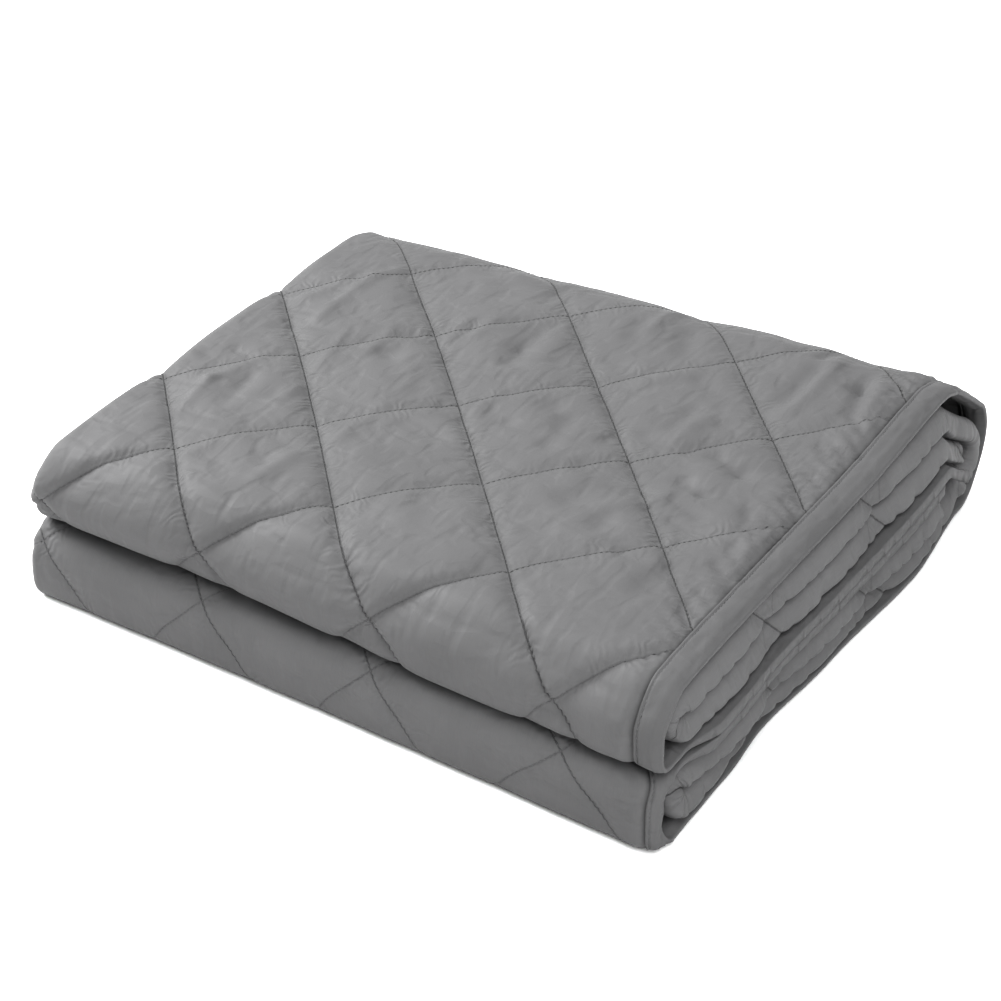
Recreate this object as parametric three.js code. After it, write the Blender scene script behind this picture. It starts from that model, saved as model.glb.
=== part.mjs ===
import * as THREE from 'three';

// A quilted blanket, folded in three across its width and then in four along its length.
// X runs along the front folds, Y to the back, Z up; the origin is under the middle of the pile.
// Sizes are millimetres.

// Driving sizes
const FOLDED_LENGTH = 514;
const FOLDED_WIDTH = 512;
const PLY = 9.8;
const GAP = 0.8;
const DIAMOND_X = 140;
const DIAMOND_V = 156;
const BINDING_WIDTH = 20;
const BINDING_CLOTH = 1.1;
const FIT = 0.8;

// One layer is three plies: the cover ply, and under it the two plies of the inner fold
const LAYER = 3 * PLY + 2 * GAP;
const ROLL = 2 * LAYER + GAP;
const HEIGHT = 2 * ROLL + GAP;
const HALF = FOLDED_LENGTH / 2;
const DEGREE = Math.PI / 180;

// The back fold leans out from the top and bulges low down
const BACK_SLOPE = 36 * DEGREE;
const SHOULDER_RADIUS = 80;
const BACK_RADIUS = 45;
const UPPER_ROLL_SETBACK = 4;
const UPPER_END = 43;
const LOWER_END_SETBACK = 4;

// The cloth sits lower on the upper roll's front fold than its arc would have it, most at the
// ends, and further round on the lower roll's
const UPPER_SLIDE = 2;
const UPPER_END_SLIDE = 12;
const LOWER_SLIDE = 45;

// Between the rolls the bound edges and the inner folds lie further out than on top, and the
// bound edges fill their layers
const EDGE_REACH = { upper: 9, lower: 8 };
const EDGE_RAMP = 35;
const INNER_REACH = { upper: 3, lower: 5 };
const REACH_RAMP = 70;
const EDGE_FILL = 0.9;
const EDGE_SHIFT = 0.7;

// At the back right corner the inner plies stand off from the cover
const STAND_OFF = 13;
const STAND_OFF_X = { from: 130, over: 110 };
const STAND_OFF_Y = { from: 120, over: 80 };
const STAND_OFF_Z = { from: 35, over: 50 };

// The pile is uneven: the top falls to both ends, less at the right, and the left end is narrower
const CROWN_FALL = 0.055;
const CROWN_FALL_RIGHT = 0.7;
const LEFT_TAPER = 0.055;
const LEFT_REACH = 11;
const LEFT_REACH_DROP = 42;
const LEFT_SKEW = 0.022;
const FRONT_BOW = 2.5;
const BACK_RAMP = { from: 20, over: 140 };
const FRONT_FALL = { from: -150, over: 106, drop: 6 };

// How far the lowest layer reaches past the right end, from front to back
const RIGHT_REACH = [
  { at: -250, value: 5 },
  { at: -160, value: 4 },
  { at: -105, value: 0 },
  { at: -20, value: 5.5 },
  { at: 110, value: 12.5 },
  { at: 204, value: 4 },
  { at: 256, value: 0 },
];

// How much the top of the back fold rises or sinks, from left to right
const BACK_RISE = [
  { at: -257, value: 0 },
  { at: -150, value: -2.5 },
  { at: 0, value: 0.5 },
  { at: 150, value: 3.5 },
  { at: 257, value: 3.5 },
];

// Quilting: the seams pull the face in, and the diamonds stand out between them
const SEAM_DEPTH = 2;
const PUFF = 1.8;
const PUFF_SHARPNESS = 3.2;
const SEAM_CROSSING = { x: -33, y: -31.5 };
const QUILTING_RAMP = 30;
const FLAT_BASE_SPREAD = 1;

// The inner fold stops short of the front of the cover ply, which leaves a hollow there
const INNER_FOLD_BACK = { 'under the upper roll': 5, base: 10 };
const INNER_FOLD_REACH = 60;
const INNER_FOLD_SETBACK = 1;
const INNER_PUFF = 0.8;
const INNER_FOLD_POWER = 2.5;
const INNER_FOLD_DROOP = 4;
const FREE_EDGE_SETBACK = 14;
const FREE_EDGE_BEVEL = 3;

// Where the cover's face ends, and where its underside starts, in from the binding
const FACE_END = 5;
const UNDERSIDE_START = 11;
const BINDING_FOOT = 1;

// Mesh steps: a twelfth of a diamond along the seams, and coarser where layers hide the face
const STEPS = 12;
const STEP_X = DIAMOND_X / STEPS;
const STEP_V = DIAMOND_V / STEPS;
const STAGGER = 2;
const HIDDEN_STEP = STEPS / 2;
const HIDDEN_FACE_CELLS = 4;
const FOLD_CELLS = 5;

// The path of the cover ply, seen from the right end, with the outer side on its left
const front = -FOLDED_WIDTH / 2;
const rollRadius = ROLL / 2;
const tuckRadius = SHOULDER_RADIUS - 2 * LAYER - GAP;
const slopeRun = (HEIGHT - SHOULDER_RADIUS * (1 - Math.cos(BACK_SLOPE))
  - BACK_RADIUS * (1 + Math.cos(BACK_SLOPE))) / Math.sin(BACK_SLOPE);
const backCentre = FOLDED_WIDTH / 2 - BACK_RADIUS;
const topEnd = backCentre + (BACK_RADIUS - SHOULDER_RADIUS) * Math.sin(BACK_SLOPE)
  - slopeRun * Math.cos(BACK_SLOPE);
const upperFront = front + UPPER_ROLL_SETBACK + rollRadius;
const lowerFront = front + rollRadius;
const lowerEnd = topEnd - LOWER_END_SETBACK;
const FOLDS = [
  { name: 'tucked end', run: UPPER_END, turn: BACK_SLOPE, radius: tuckRadius, shows: 0 },
  { name: 'under the upper roll', run: topEnd - upperFront, turn: -Math.PI, radius: rollRadius, shows: 0 },
  { name: 'top', run: topEnd - upperFront, turn: -BACK_SLOPE, radius: SHOULDER_RADIUS, shows: 1 },
  { name: 'back', run: slopeRun, turn: BACK_SLOPE - Math.PI, radius: BACK_RADIUS, shows: 1 },
  { name: 'base', run: backCentre - lowerFront, turn: -Math.PI, radius: rollRadius, shows: 0 },
  { name: 'over the lower roll', run: lowerEnd - lowerFront, turn: 0, radius: 1, shows: 0 },
];

const FRONT_FOLDS = ['under the upper roll', 'base'];

// How square the lower quarter of each front fold is, where 2 is round; the upper roll's lip is
// squarer towards the right, and its upper quarter droops
const LIP_POWER = [
  { at: -257, value: 2.4 },
  { at: -60, value: 2.7 },
  { at: 20, value: 4 },
  { at: 90, value: 7 },
  { at: 200, value: 7.5 },
  { at: 245, value: 4.5 },
];
const FOOT_POWER = 6;
const UPPER_DROOP = 3;

function layPath(folds) {
  let heading = Math.PI - BACK_SLOPE;
  let start = 0;
  let y = 0;
  let z = 0;
  const laid = [];
  for (const fold of folds) {
    const arcStart = start + fold.run;
    const end = arcStart + Math.abs(fold.turn) * fold.radius;
    laid.push({ ...fold, start, arcStart, end, heading, y, z });
    y += fold.run * Math.cos(heading);
    z += fold.run * Math.sin(heading);
    const side = Math.sign(fold.turn);
    const next = heading + fold.turn;
    y += side * fold.radius * (Math.sin(next) - Math.sin(heading));
    z -= side * fold.radius * (Math.cos(next) - Math.cos(heading));
    heading = next;
    start = end;
  }
  const top = laid.find((fold) => fold.name === 'top');
  const shiftY = upperFront - top.y;
  const shiftZ = HEIGHT - top.z;
  return laid.map((fold) => ({ ...fold, y: fold.y + shiftY, z: fold.z + shiftZ }));
}

const path = layPath(FOLDS);
const pathEnd = path[path.length - 1].end;
const named = Object.fromEntries(path.map((fold) => [fold.name, fold]));
const seamStart = named.top.start + SEAM_CROSSING.y - upperFront;

// The place on the path at a length along it, with the direction that faces out of the pile
function placeAt(length) {
  const fold = path.find((candidate) => length <= candidate.end) ?? path[path.length - 1];
  const run = Math.min(length, fold.arcStart) - fold.start;
  const turned = Math.max(0, length - fold.arcStart) / fold.radius;
  const side = Math.sign(fold.turn);
  const heading = fold.heading + side * turned;
  const y = fold.y + run * Math.cos(fold.heading)
    + side * fold.radius * (Math.sin(heading) - Math.sin(fold.heading));
  const z = fold.z + run * Math.sin(fold.heading)
    - side * fold.radius * (Math.cos(heading) - Math.cos(fold.heading));
  return { y, z, outY: -Math.sin(heading), outZ: Math.cos(heading) };
}

function smooth(value) {
  const t = Math.min(1, Math.max(0, value));
  return t * t * (3 - 2 * t);
}

// The value of a table at a place, eased from row to row
function between(rows, place) {
  let value = rows[0].value;
  for (let i = 1; i < rows.length; i += 1) {
    const share = smooth((place - rows[i - 1].at) / (rows[i].at - rows[i - 1].at));
    value += (rows[i].value - rows[i - 1].value) * share;
  }
  return value;
}

// Where on the path a length of cloth lies
function slide(x, length) {
  const upper = named['under the upper roll'];
  const over = named['over the lower roll'];
  const quarter = upper.radius * Math.PI / 2;
  const toEnd = x / HALF;
  const onUpper = smooth((upper.end - length) / quarter) * smooth(length / upper.arcStart);
  const onLower = smooth((length - named.base.start) / named.base.run)
    * smooth((over.end - length) / over.run);
  const down = (UPPER_SLIDE + UPPER_END_SLIDE * toEnd * toEnd) * onUpper;
  return length - down + LOWER_SLIDE * onLower;
}

// How much further out than a circle a rounded square is, at an angle
function superellipse(angle, power) {
  const sum = Math.abs(Math.cos(angle)) ** power + Math.abs(Math.sin(angle)) ** power;
  return sum ** (-1 / power);
}

// How far the cover ply stands in or out of its round fold
function squareness(length, x) {
  const upper = (length - named['under the upper roll'].arcStart) / rollRadius;
  const lower = (length - named.base.arcStart) / rollRadius;
  const quarter = Math.PI / 2;
  if (upper > 0 && upper < quarter) {
    return rollRadius * (superellipse(upper, between(LIP_POWER, x)) - 1);
  }
  if (upper > quarter && upper < Math.PI) {
    return -UPPER_DROOP * Math.sin(2 * upper) ** 2;
  }
  if (lower > 0 && lower < quarter) {
    return rollRadius * (superellipse(lower, FOOT_POWER) - 1);
  }
  return 0;
}

// How far the inner fold is drawn back from a front fold, fading out along the layers
function drawnBack(length) {
  let back = 0;
  for (const name of FRONT_FOLDS) {
    const fold = named[name];
    const away = Math.max(fold.arcStart - length, length - fold.end, 0);
    back = Math.max(back, INNER_FOLD_BACK[name] * smooth(1 - away / INNER_FOLD_REACH));
  }
  return back;
}

// How far a length belongs to each of the two runs between the rolls
function betweenRolls(length, ramp) {
  return {
    upper: smooth((named['under the upper roll'].arcStart - length) / ramp),
    lower: smooth((length - named.base.end) / ramp),
  };
}

// How far the bound edge and the inner fold lie out on both runs between the rolls
function reachBetweenRolls(length, inner) {
  const edge = betweenRolls(length, EDGE_RAMP);
  const fold = betweenRolls(length, REACH_RAMP);
  return (edge.upper * EDGE_REACH.upper + edge.lower * EDGE_REACH.lower) * (1 - inner)
    + (fold.upper * INNER_REACH.upper + fold.lower * INNER_REACH.lower) * inner;
}

// The depth of a point of the bound edge, whose two sides stand further apart between the rolls
function filledDepth(length, depth, side) {
  const { upper, lower } = betweenRolls(length, EDGE_RAMP);
  return depth + (upper + lower) * (side * EDGE_FILL + EDGE_SHIFT);
}

// How far a point inside the pile stands off from the cover at the back right corner
function standOff(length, inner, x, y, z) {
  const onCover = length > named.top.start && length < named.base.end ? 1 - inner : 0;
  return (1 - onCover) * STAND_OFF * smooth((x - STAND_OFF_X.from) / STAND_OFF_X.over)
    * smooth((y - STAND_OFF_Y.from) / STAND_OFF_Y.over)
    * smooth((z - STAND_OFF_Z.from) / STAND_OFF_Z.over);
}

// 1 where the face shows, 0 between layers and on the flat base
function quiltingAt(length) {
  let shown = 0;
  for (const fold of path) {
    const from = fold.shows ? fold.start : fold.arcStart;
    if (fold.shows || FRONT_FOLDS.includes(fold.name)) {
      const inside = Math.min(length - from, fold.end - length);
      shown = Math.max(shown, inside >= 0 ? 1 : smooth(1 + inside / QUILTING_RAMP));
    }
  }
  const bottom = smooth((placeAt(length).outZ + 1) / FLAT_BASE_SPREAD);
  const hidden = Math.min(
    smooth((length - named['under the upper roll'].arcStart) / QUILTING_RAMP),
    smooth((named.base.end - length) / QUILTING_RAMP),
  );
  return shown * bottom * hidden;
}

// Height of the quilted face: 0 on a seam, 1 in the middle of a diamond
function puffAt(x, length) {
  const diamondsAcross = (x - SEAM_CROSSING.x) / DIAMOND_X;
  const diamondsAlong = (length - seamStart) / DIAMOND_V;
  const bulge = (lines) => {
    const toSeam = Math.abs(lines - Math.round(lines));
    return 1 - (1 - 2 * toSeam) ** PUFF_SHARPNESS;
  };
  return bulge(diamondsAlong + diamondsAcross) * bulge(diamondsAlong - diamondsAcross);
}

// The pile isn't a true block: lower layers reach further out, and the top isn't level
function settle(x, y, z) {
  const toEnd = x / HALF;
  const level = z / HEIGHT;
  const right = smooth(toEnd);
  const left = smooth(-toEnd);
  const outRight = right * between(RIGHT_REACH, y) * (1 - level);
  const frontShare = 1 - smooth((y - front) / FOLDED_WIDTH) / 2;
  const reach = LEFT_REACH * smooth((HEIGHT - z) / LEFT_REACH_DROP) * frontShare;
  const outLeft = left * (reach + LEFT_SKEW * y);
  const narrowed = 1 - LEFT_TAPER * (1 - toEnd) / 2;
  const atFront = smooth(y / front) * (1 - level);
  const atBack = smooth((y - BACK_RAMP.from) / BACK_RAMP.over);
  const fallShare = 1 - right * (1 - CROWN_FALL_RIGHT * (1 - atBack));
  const fall = CROWN_FALL * toEnd ** 4 * fallShare;
  const rise = between(BACK_RISE, x) * atBack * level;
  const forward = Math.min(1, Math.max(0, (FRONT_FALL.from - y) / FRONT_FALL.over));
  const drop = FRONT_FALL.drop * forward * forward * level;
  return [
    x + outRight - outLeft,
    front + (y - front) * narrowed - FRONT_BOW * toEnd * toEnd * atFront,
    z * (1 - fall) + rise - drop,
  ];
}

// A point of a section: x, its depth under the outer face, how far it belongs to the inner fold,
// and on a bound edge also its side
function pointAt(length, point) {
  const { x, side, inner = 0, puff = 0, outX = 0, outN = 1 } = point;
  const at = slide(x, length);
  const place = placeAt(at);
  const depth = side === undefined ? point.depth : filledDepth(at, point.depth, side);
  const raised = puffAt(x, length) * (SEAM_DEPTH + PUFF) - SEAM_DEPTH;
  const relief = puff ? puff * quiltingAt(at) * raised : 0;
  const lift = (1 - inner) * squareness(at, x) - depth + relief * outN;
  const droop = -INNER_FOLD_DROOP * inner * outX * outN * place.outZ;
  const y = place.y + place.outY * lift + inner * drawnBack(at);
  const z = place.z + place.outZ * lift;
  const edge = smooth(x / HALF) * reachBetweenRolls(at, inner);
  return settle(x + relief * outX + droop + edge, y - standOff(at, inner, x, y, z), z);
}

// Points of a run across the pile at one depth, without its two ends
function across(fromX, toX, depth, inner) {
  const points = [];
  for (let cell = 1; cell < HIDDEN_FACE_CELLS; cell += 1) {
    points.push({ x: fromX + (toX - fromX) * cell / HIDDEN_FACE_CELLS, depth, inner });
  }
  return points;
}

// Half the ply's thickness under the binding, at distances in from its outer edge; the ply's tip
// stops short inside the binding, whose own edge is rounded at its shoulder
const BOUND_EDGE = [
  { inset: BINDING_WIDTH, half: 1.5 },
  { inset: 12, half: 2.1 },
  { inset: 6.5, half: 1.8 },
];
const BOUND_DEPTH = 4.1;
const BOUND_TIP = 3.2;
const BINDING_SHOULDER = { inset: 1.5, half: 2.4 };

const leftCentre = -HALF + PLY + GAP / 2;
const foldRadius = PLY + GAP / 2;
const rightCentre = HALF - INNER_FOLD_SETBACK - foldRadius;
const coverEnd = HALF - BINDING_WIDTH - FACE_END;
const undersideStart = HALF - BINDING_WIDTH - UNDERSIDE_START;
const besideBinding = HALF - BINDING_WIDTH - BINDING_FOOT;

// The section of the three plies from the edge of the cover's face round to its left end
function innerSection() {
  const points = [];
  points.push({ x: besideBinding, depth: BOUND_DEPTH - BOUND_EDGE[0].half, side: -1 });
  for (const { inset, half } of BOUND_EDGE) {
    points.push({ x: HALF - inset, depth: BOUND_DEPTH - half, side: -1 });
  }
  points.push({ x: HALF - BOUND_TIP - FIT, depth: BOUND_DEPTH, side: 0 });
  for (const { inset, half } of [...BOUND_EDGE].reverse()) {
    points.push({ x: HALF - inset, depth: BOUND_DEPTH + half, side: 1 });
  }
  points.push({ x: besideBinding, depth: BOUND_DEPTH + BOUND_EDGE[0].half, side: 1 });
  points.push({ x: undersideStart, depth: PLY });
  points.push(...across(undersideStart, leftCentre, PLY, 0));
  points.push({ x: leftCentre, depth: PLY });
  points.push({ x: leftCentre - GAP / 2, depth: PLY + GAP / 2, inner: 0.5 });
  points.push({ x: leftCentre, depth: PLY + GAP, inner: 1 });
  points.push(...across(leftCentre, rightCentre, PLY + GAP, 1));
  for (let cell = 0; cell <= FOLD_CELLS; cell += 1) {
    const angle = Math.PI * cell / FOLD_CELLS;
    const radius = foldRadius * superellipse(angle, INNER_FOLD_POWER);
    points.push({
      x: rightCentre + radius * Math.sin(angle),
      depth: LAYER - foldRadius - radius * Math.cos(angle),
      inner: 1,
      puff: INNER_PUFF * Math.sin(angle),
      outX: Math.sin(angle),
      outN: Math.cos(angle),
    });
  }
  const freeEnd = -HALF + FREE_EDGE_SETBACK;
  const bevelEnd = freeEnd + FREE_EDGE_BEVEL;
  points.push(...across(rightCentre, bevelEnd, LAYER, 1));
  points.push({ x: bevelEnd, depth: LAYER, inner: 1 });
  points.push({ x: freeEnd, depth: LAYER - FREE_EDGE_BEVEL, inner: 1 });
  points.push({ x: freeEnd, depth: LAYER - PLY + FREE_EDGE_BEVEL, inner: 1 });
  points.push({ x: bevelEnd, depth: LAYER - PLY, inner: 1 });
  points.push(...across(bevelEnd, rightCentre, LAYER - PLY, 1));
  points.push({ x: rightCentre, depth: LAYER - PLY, inner: 1 });
  points.push({ x: rightCentre + GAP / 2, depth: LAYER - PLY - GAP / 2, inner: 1 });
  points.push({ x: rightCentre, depth: LAYER - PLY - GAP, inner: 1 });
  points.push(...across(rightCentre, leftCentre, LAYER - PLY - GAP, 1));
  for (let cell = 0; cell < FOLD_CELLS; cell += 1) {
    const angle = Math.PI * (1 - cell / FOLD_CELLS);
    points.push({
      x: leftCentre - foldRadius * Math.sin(angle),
      depth: foldRadius * (1 - Math.cos(angle)),
      inner: (1 - Math.cos(angle)) / 2,
      puff: (1 + Math.cos(angle)) / 2,
      outX: -Math.sin(angle),
      outN: Math.cos(angle),
    });
  }
  return points;
}

// The cover's face from left to right; neighbouring rows are staggered by half a cell
function coverFace(row, fine) {
  const step = fine ? STAGGER : HIDDEN_STEP;
  const points = [{ x: leftCentre, depth: 0, puff: 1 }];
  const first = Math.ceil((leftCentre + STEP_X - SEAM_CROSSING.x) / STEP_X);
  for (let column = first; SEAM_CROSSING.x + column * STEP_X < coverEnd - STEP_X; column += 1) {
    if (Math.abs(column + (fine ? row : 0)) % step === 0) {
      points.push({ x: SEAM_CROSSING.x + column * STEP_X, depth: 0, puff: 1 });
    }
  }
  points.push({ x: coverEnd, depth: 0, puff: 1 });
  return points;
}

// Stations along the path: every step where the face shows, and every half diamond elsewhere
function stations() {
  const list = [{ length: 0, row: 0, fine: false }];
  const bend = named['tucked end'];
  for (const length of [bend.arcStart, (bend.arcStart + bend.end) / 2, bend.end]) {
    list.push({ length, row: 0, fine: false });
  }
  const fineFrom = named['under the upper roll'].arcStart - STEP_V;
  const firstRow = Math.ceil((bend.end + STEP_V - seamStart) / STEP_V);
  for (let row = firstRow; seamStart + row * STEP_V < pathEnd - STEP_V; row += 1) {
    const length = seamStart + row * STEP_V;
    const at = slide(0, length);
    const onBase = at > named.base.start + STEP_V && at < named.base.arcStart - STEP_V;
    const fine = at > fineFrom && !onBase && at < named.base.end + STEP_V;
    if (fine || row % HIDDEN_STEP === 0) {
      list.push({ length, row, fine });
    }
  }
  list.push({ length: pathEnd, row: 0, fine: false });
  return list;
}

// Joins two rows of points, ordered by x, with one band of triangles
function zip(triangles, rowA, rowB) {
  let a = 0;
  let b = 0;
  while (a < rowA.length - 1 || b < rowB.length - 1) {
    const nextA = a < rowA.length - 1 ? rowA[a + 1].x : Infinity;
    const nextB = b < rowB.length - 1 ? rowB[b + 1].x : Infinity;
    if (nextA <= nextB) {
      triangles.push(rowA[a].index, rowA[a + 1].index, rowB[b].index);
      a += 1;
    } else {
      triangles.push(rowA[a].index, rowB[b + 1].index, rowB[b].index);
      b += 1;
    }
  }
}

// Joins two rings with the same number of points; the quads follow the given part of each ring
function bridge(triangles, ringA, ringB) {
  for (let i = 0; i < ringA.length - 1; i += 1) {
    triangles.push(ringA[i].index, ringA[i + 1].index, ringB[i].index);
    triangles.push(ringA[i + 1].index, ringB[i + 1].index, ringB[i].index);
  }
}

function closeEnd(triangles, ring, flip) {
  const outline = ring.map(({ x, depth }) => new THREE.Vector2(x, -depth));
  for (const [a, b, c] of THREE.ShapeUtils.triangulateShape(outline, [])) {
    triangles.push(ring[a].index, ring[flip ? c : b].index, ring[flip ? b : c].index);
  }
}

function meshGeometry(positions, triangles) {
  const geometry = new THREE.BufferGeometry();
  geometry.setAttribute('position', new THREE.Float32BufferAttribute(positions, 3));
  geometry.setIndex(triangles);
  geometry.computeVertexNormals();
  return geometry;
}

// Carries a section along the stations; each section has a face, zipped, and a rest, bridged
function sweep(rows) {
  const positions = [];
  const triangles = [];
  const laid = rows.map(({ length, face, rest }) => {
    const add = (point) => {
      positions.push(...pointAt(length, point));
      return { ...point, index: positions.length / 3 - 1 };
    };
    return { face: face.map(add), rest: rest.map(add) };
  });
  for (let i = 0; i < laid.length - 1; i += 1) {
    const here = laid[i];
    const next = laid[i + 1];
    zip(triangles, here.face, next.face);
    const ringOf = ({ face, rest }) => [face[face.length - 1], ...rest, face[0]];
    bridge(triangles, ringOf(here), ringOf(next));
  }
  closeEnd(triangles, [...laid[0].face, ...laid[0].rest], false);
  const last = laid[laid.length - 1];
  closeEnd(triangles, [...last.face, ...last.rest], true);
  return meshGeometry(positions, triangles);
}

function quiltGeometry() {
  return sweep(stations().map(({ length, row, fine }) => ({
    length,
    face: coverFace(row, fine),
    rest: innerSection(),
  })));
}

// The binding is a strip folded over the edge of the cover ply
function bindingSection() {
  const layAt = (stand) => BOUND_EDGE.map(({ inset, half }) => ({
    x: HALF - inset,
    depth: BOUND_DEPTH - half - stand,
    side: -1,
  }));
  const turnOver = (points) => points.map(({ x, depth }) => ({
    x,
    depth: 2 * BOUND_DEPTH - depth,
    side: 1,
  }));
  const shoulder = {
    x: HALF - BINDING_SHOULDER.inset,
    depth: BOUND_DEPTH - BINDING_SHOULDER.half,
    side: -1,
  };
  const face = [...layAt(FIT + BINDING_CLOTH), shoulder];
  const inside = layAt(FIT);
  const rest = [
    { x: HALF, depth: BOUND_DEPTH, side: 0 },
    ...turnOver(face).reverse(),
    ...turnOver(inside),
    { x: HALF - BOUND_TIP + FIT, depth: BOUND_DEPTH, side: 0 },
    ...inside.reverse(),
  ];
  return { face, rest };
}

function bindingGeometry() {
  return sweep(stations().map(({ length }) => ({ length, ...bindingSection() })));
}

const blanket = new THREE.Group();

const quilt = new THREE.Mesh(
  quiltGeometry(),
  new THREE.MeshStandardMaterial({ color: 0x7e7e7f, roughness: 0.62, metalness: 0 }),
);
quilt.name = 'quilt';
blanket.add(quilt);

const binding = new THREE.Mesh(
  bindingGeometry(),
  new THREE.MeshStandardMaterial({ color: 0x787879, roughness: 0.55, metalness: 0 }),
);
binding.name = 'binding';
blanket.add(binding);

export default blanket;
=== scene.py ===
# %% [markdown]
# # A quilted blanket, folded for the shelf
#
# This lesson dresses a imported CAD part: a soft grey blanket, quilted in large diamonds, with a
# bound edge. It was folded in three across its width and then in four along its length.
# The CAD part holds the true folds. Here they become cloth: fine seams, stitches, creases and a
# satin weave, all worked out with numpy on the same folds.

# %% Load the frame
import math

import bpy
import numpy as np
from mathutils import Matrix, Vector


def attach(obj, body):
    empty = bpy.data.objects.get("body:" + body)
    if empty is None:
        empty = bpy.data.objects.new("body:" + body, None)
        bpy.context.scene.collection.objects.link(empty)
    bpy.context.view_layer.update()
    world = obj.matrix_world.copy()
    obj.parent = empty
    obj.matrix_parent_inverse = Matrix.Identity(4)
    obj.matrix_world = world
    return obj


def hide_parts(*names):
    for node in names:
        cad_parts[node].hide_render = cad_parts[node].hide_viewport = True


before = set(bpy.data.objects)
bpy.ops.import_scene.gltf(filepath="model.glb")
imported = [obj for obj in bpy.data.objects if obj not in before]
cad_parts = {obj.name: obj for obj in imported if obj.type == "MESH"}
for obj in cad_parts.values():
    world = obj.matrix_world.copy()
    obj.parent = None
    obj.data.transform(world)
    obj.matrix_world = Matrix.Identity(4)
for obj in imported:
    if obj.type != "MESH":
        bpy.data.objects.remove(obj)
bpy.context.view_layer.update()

# %% [markdown]
# ## The blanket's own sizes
#
# A cloth is described best in its own sizes: how thick a ply is, how far apart the seams run and
# how wide the binding is. All of them are real sizes.

# %% Sizes
MM = 0.001
DEGREE = math.pi / 180

FOLDED_LENGTH = 514 * MM
FOLDED_WIDTH = 512 * MM
PLY = 9.8 * MM
GAP = 0.8 * MM
DIAMOND_X = 140 * MM
DIAMOND_V = 156 * MM
SEAM_CROSSING_X = -33 * MM
SEAM_CROSSING_Y = -31.5 * MM
BINDING_WIDTH = 20 * MM
BINDING_CLEARANCE = 3 * MM

LAYER = 3 * PLY + 2 * GAP
ROLL = 2 * LAYER + GAP
HEIGHT = 2 * ROLL + GAP
FRONT = -FOLDED_WIDTH / 2
HALF = FOLDED_LENGTH / 2
cover_end = HALF - BINDING_WIDTH - BINDING_CLEARANCE
print("folded length", round(FOLDED_LENGTH, 3), "m, layer", round(LAYER / MM, 1), "mm")

# %% [markdown]
# ## The folds, as a path
#
# Seen from its right-hand end the cloth runs back and forth: straight runs joined by arcs. A path
# like this is a small table, with one row for each run and the arc that follows it. Walking it,
# as a turtle does, gives a place and an outward direction for any length along the cloth.

# %% The path of the cover ply
BACK_SLOPE = 36 * DEGREE
SHOULDER_RADIUS = 80 * MM
BACK_RADIUS = 45 * MM
UPPER_ROLL_SETBACK = 4 * MM
UPPER_END = 43 * MM
LOWER_END_SETBACK = 4 * MM

roll_radius = ROLL / 2
tuck_radius = SHOULDER_RADIUS - 2 * LAYER - GAP
slope_run = (
    HEIGHT
    - SHOULDER_RADIUS * (1 - math.cos(BACK_SLOPE))
    - BACK_RADIUS * (1 + math.cos(BACK_SLOPE))
) / math.sin(BACK_SLOPE)
back_centre = FOLDED_WIDTH / 2 - BACK_RADIUS
top_end = (
    back_centre
    + (BACK_RADIUS - SHOULDER_RADIUS) * math.sin(BACK_SLOPE)
    - slope_run * math.cos(BACK_SLOPE)
)
upper_front = FRONT + UPPER_ROLL_SETBACK + roll_radius
lower_front = FRONT + roll_radius

TUCK, UNDER, TOP, BACK, BASE, OVER = range(6)
FOLD_TABLE = np.array(
    [
        # run, turn, radius
        (UPPER_END, BACK_SLOPE, tuck_radius),
        (top_end - upper_front, -math.pi, roll_radius),
        (top_end - upper_front, -BACK_SLOPE, SHOULDER_RADIUS),
        (slope_run, BACK_SLOPE - math.pi, BACK_RADIUS),
        (back_centre - lower_front, -math.pi, roll_radius),
        (top_end - LOWER_END_SETBACK - lower_front, 0.0, 1.0),
    ]
)
fold_run, fold_turn, fold_radius = FOLD_TABLE.T
fold_end = np.cumsum(fold_run + np.abs(fold_turn) * fold_radius)
fold_start = np.concatenate([[0.0], fold_end[:-1]])
arc_start = fold_start + fold_run
fold_side = np.sign(fold_turn)
fold_heading = math.pi - BACK_SLOPE + np.concatenate([[0.0], np.cumsum(fold_turn)[:-1]])
print("cloth along the path", round(float(fold_end[-1]), 3), "m")

# %% Walking the path
def arc_step(heading, turned, side, radius):
    """Step along an arc: the sine and cosine of the new heading less those of the old, times
    the radius."""
    after = heading + side * turned
    return (
        side * radius * (np.sin(after) - np.sin(heading)),
        -side * radius * (np.cos(after) - np.cos(heading)),
    )


step_y, step_z = arc_step(fold_heading, np.abs(fold_turn), fold_side, fold_radius)
corner_y = np.concatenate([[0.0], np.cumsum(fold_run * np.cos(fold_heading) + step_y)[:-1]])
corner_z = np.concatenate([[0.0], np.cumsum(fold_run * np.sin(fold_heading) + step_z)[:-1]])
corner_y += upper_front - corner_y[TOP]
corner_z += HEIGHT - corner_z[TOP]
seam_start = fold_start[TOP] + SEAM_CROSSING_Y - upper_front


def place_at(length):
    """The point (y, z) of the cover ply's face at a length along it, and its outward normal:
    the corner where its fold starts, plus the straight run, plus the arc step."""
    fold = np.minimum(np.searchsorted(fold_end, length), len(fold_end) - 1)
    run = np.minimum(length, arc_start[fold]) - fold_start[fold]
    turned = np.maximum(0, length - arc_start[fold]) / fold_radius[fold]
    heading = fold_heading[fold]
    dy, dz = arc_step(heading, turned, fold_side[fold], fold_radius[fold])
    now = heading + fold_side[fold] * turned
    y = corner_y[fold] + run * np.cos(heading) + dy
    z = corner_z[fold] + run * np.sin(heading) + dz
    return y, z, -np.sin(now), np.cos(now)


print("the top lies at", round(float(place_at(arc_start[TOP])[1]) / MM, 1), "mm")

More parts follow.
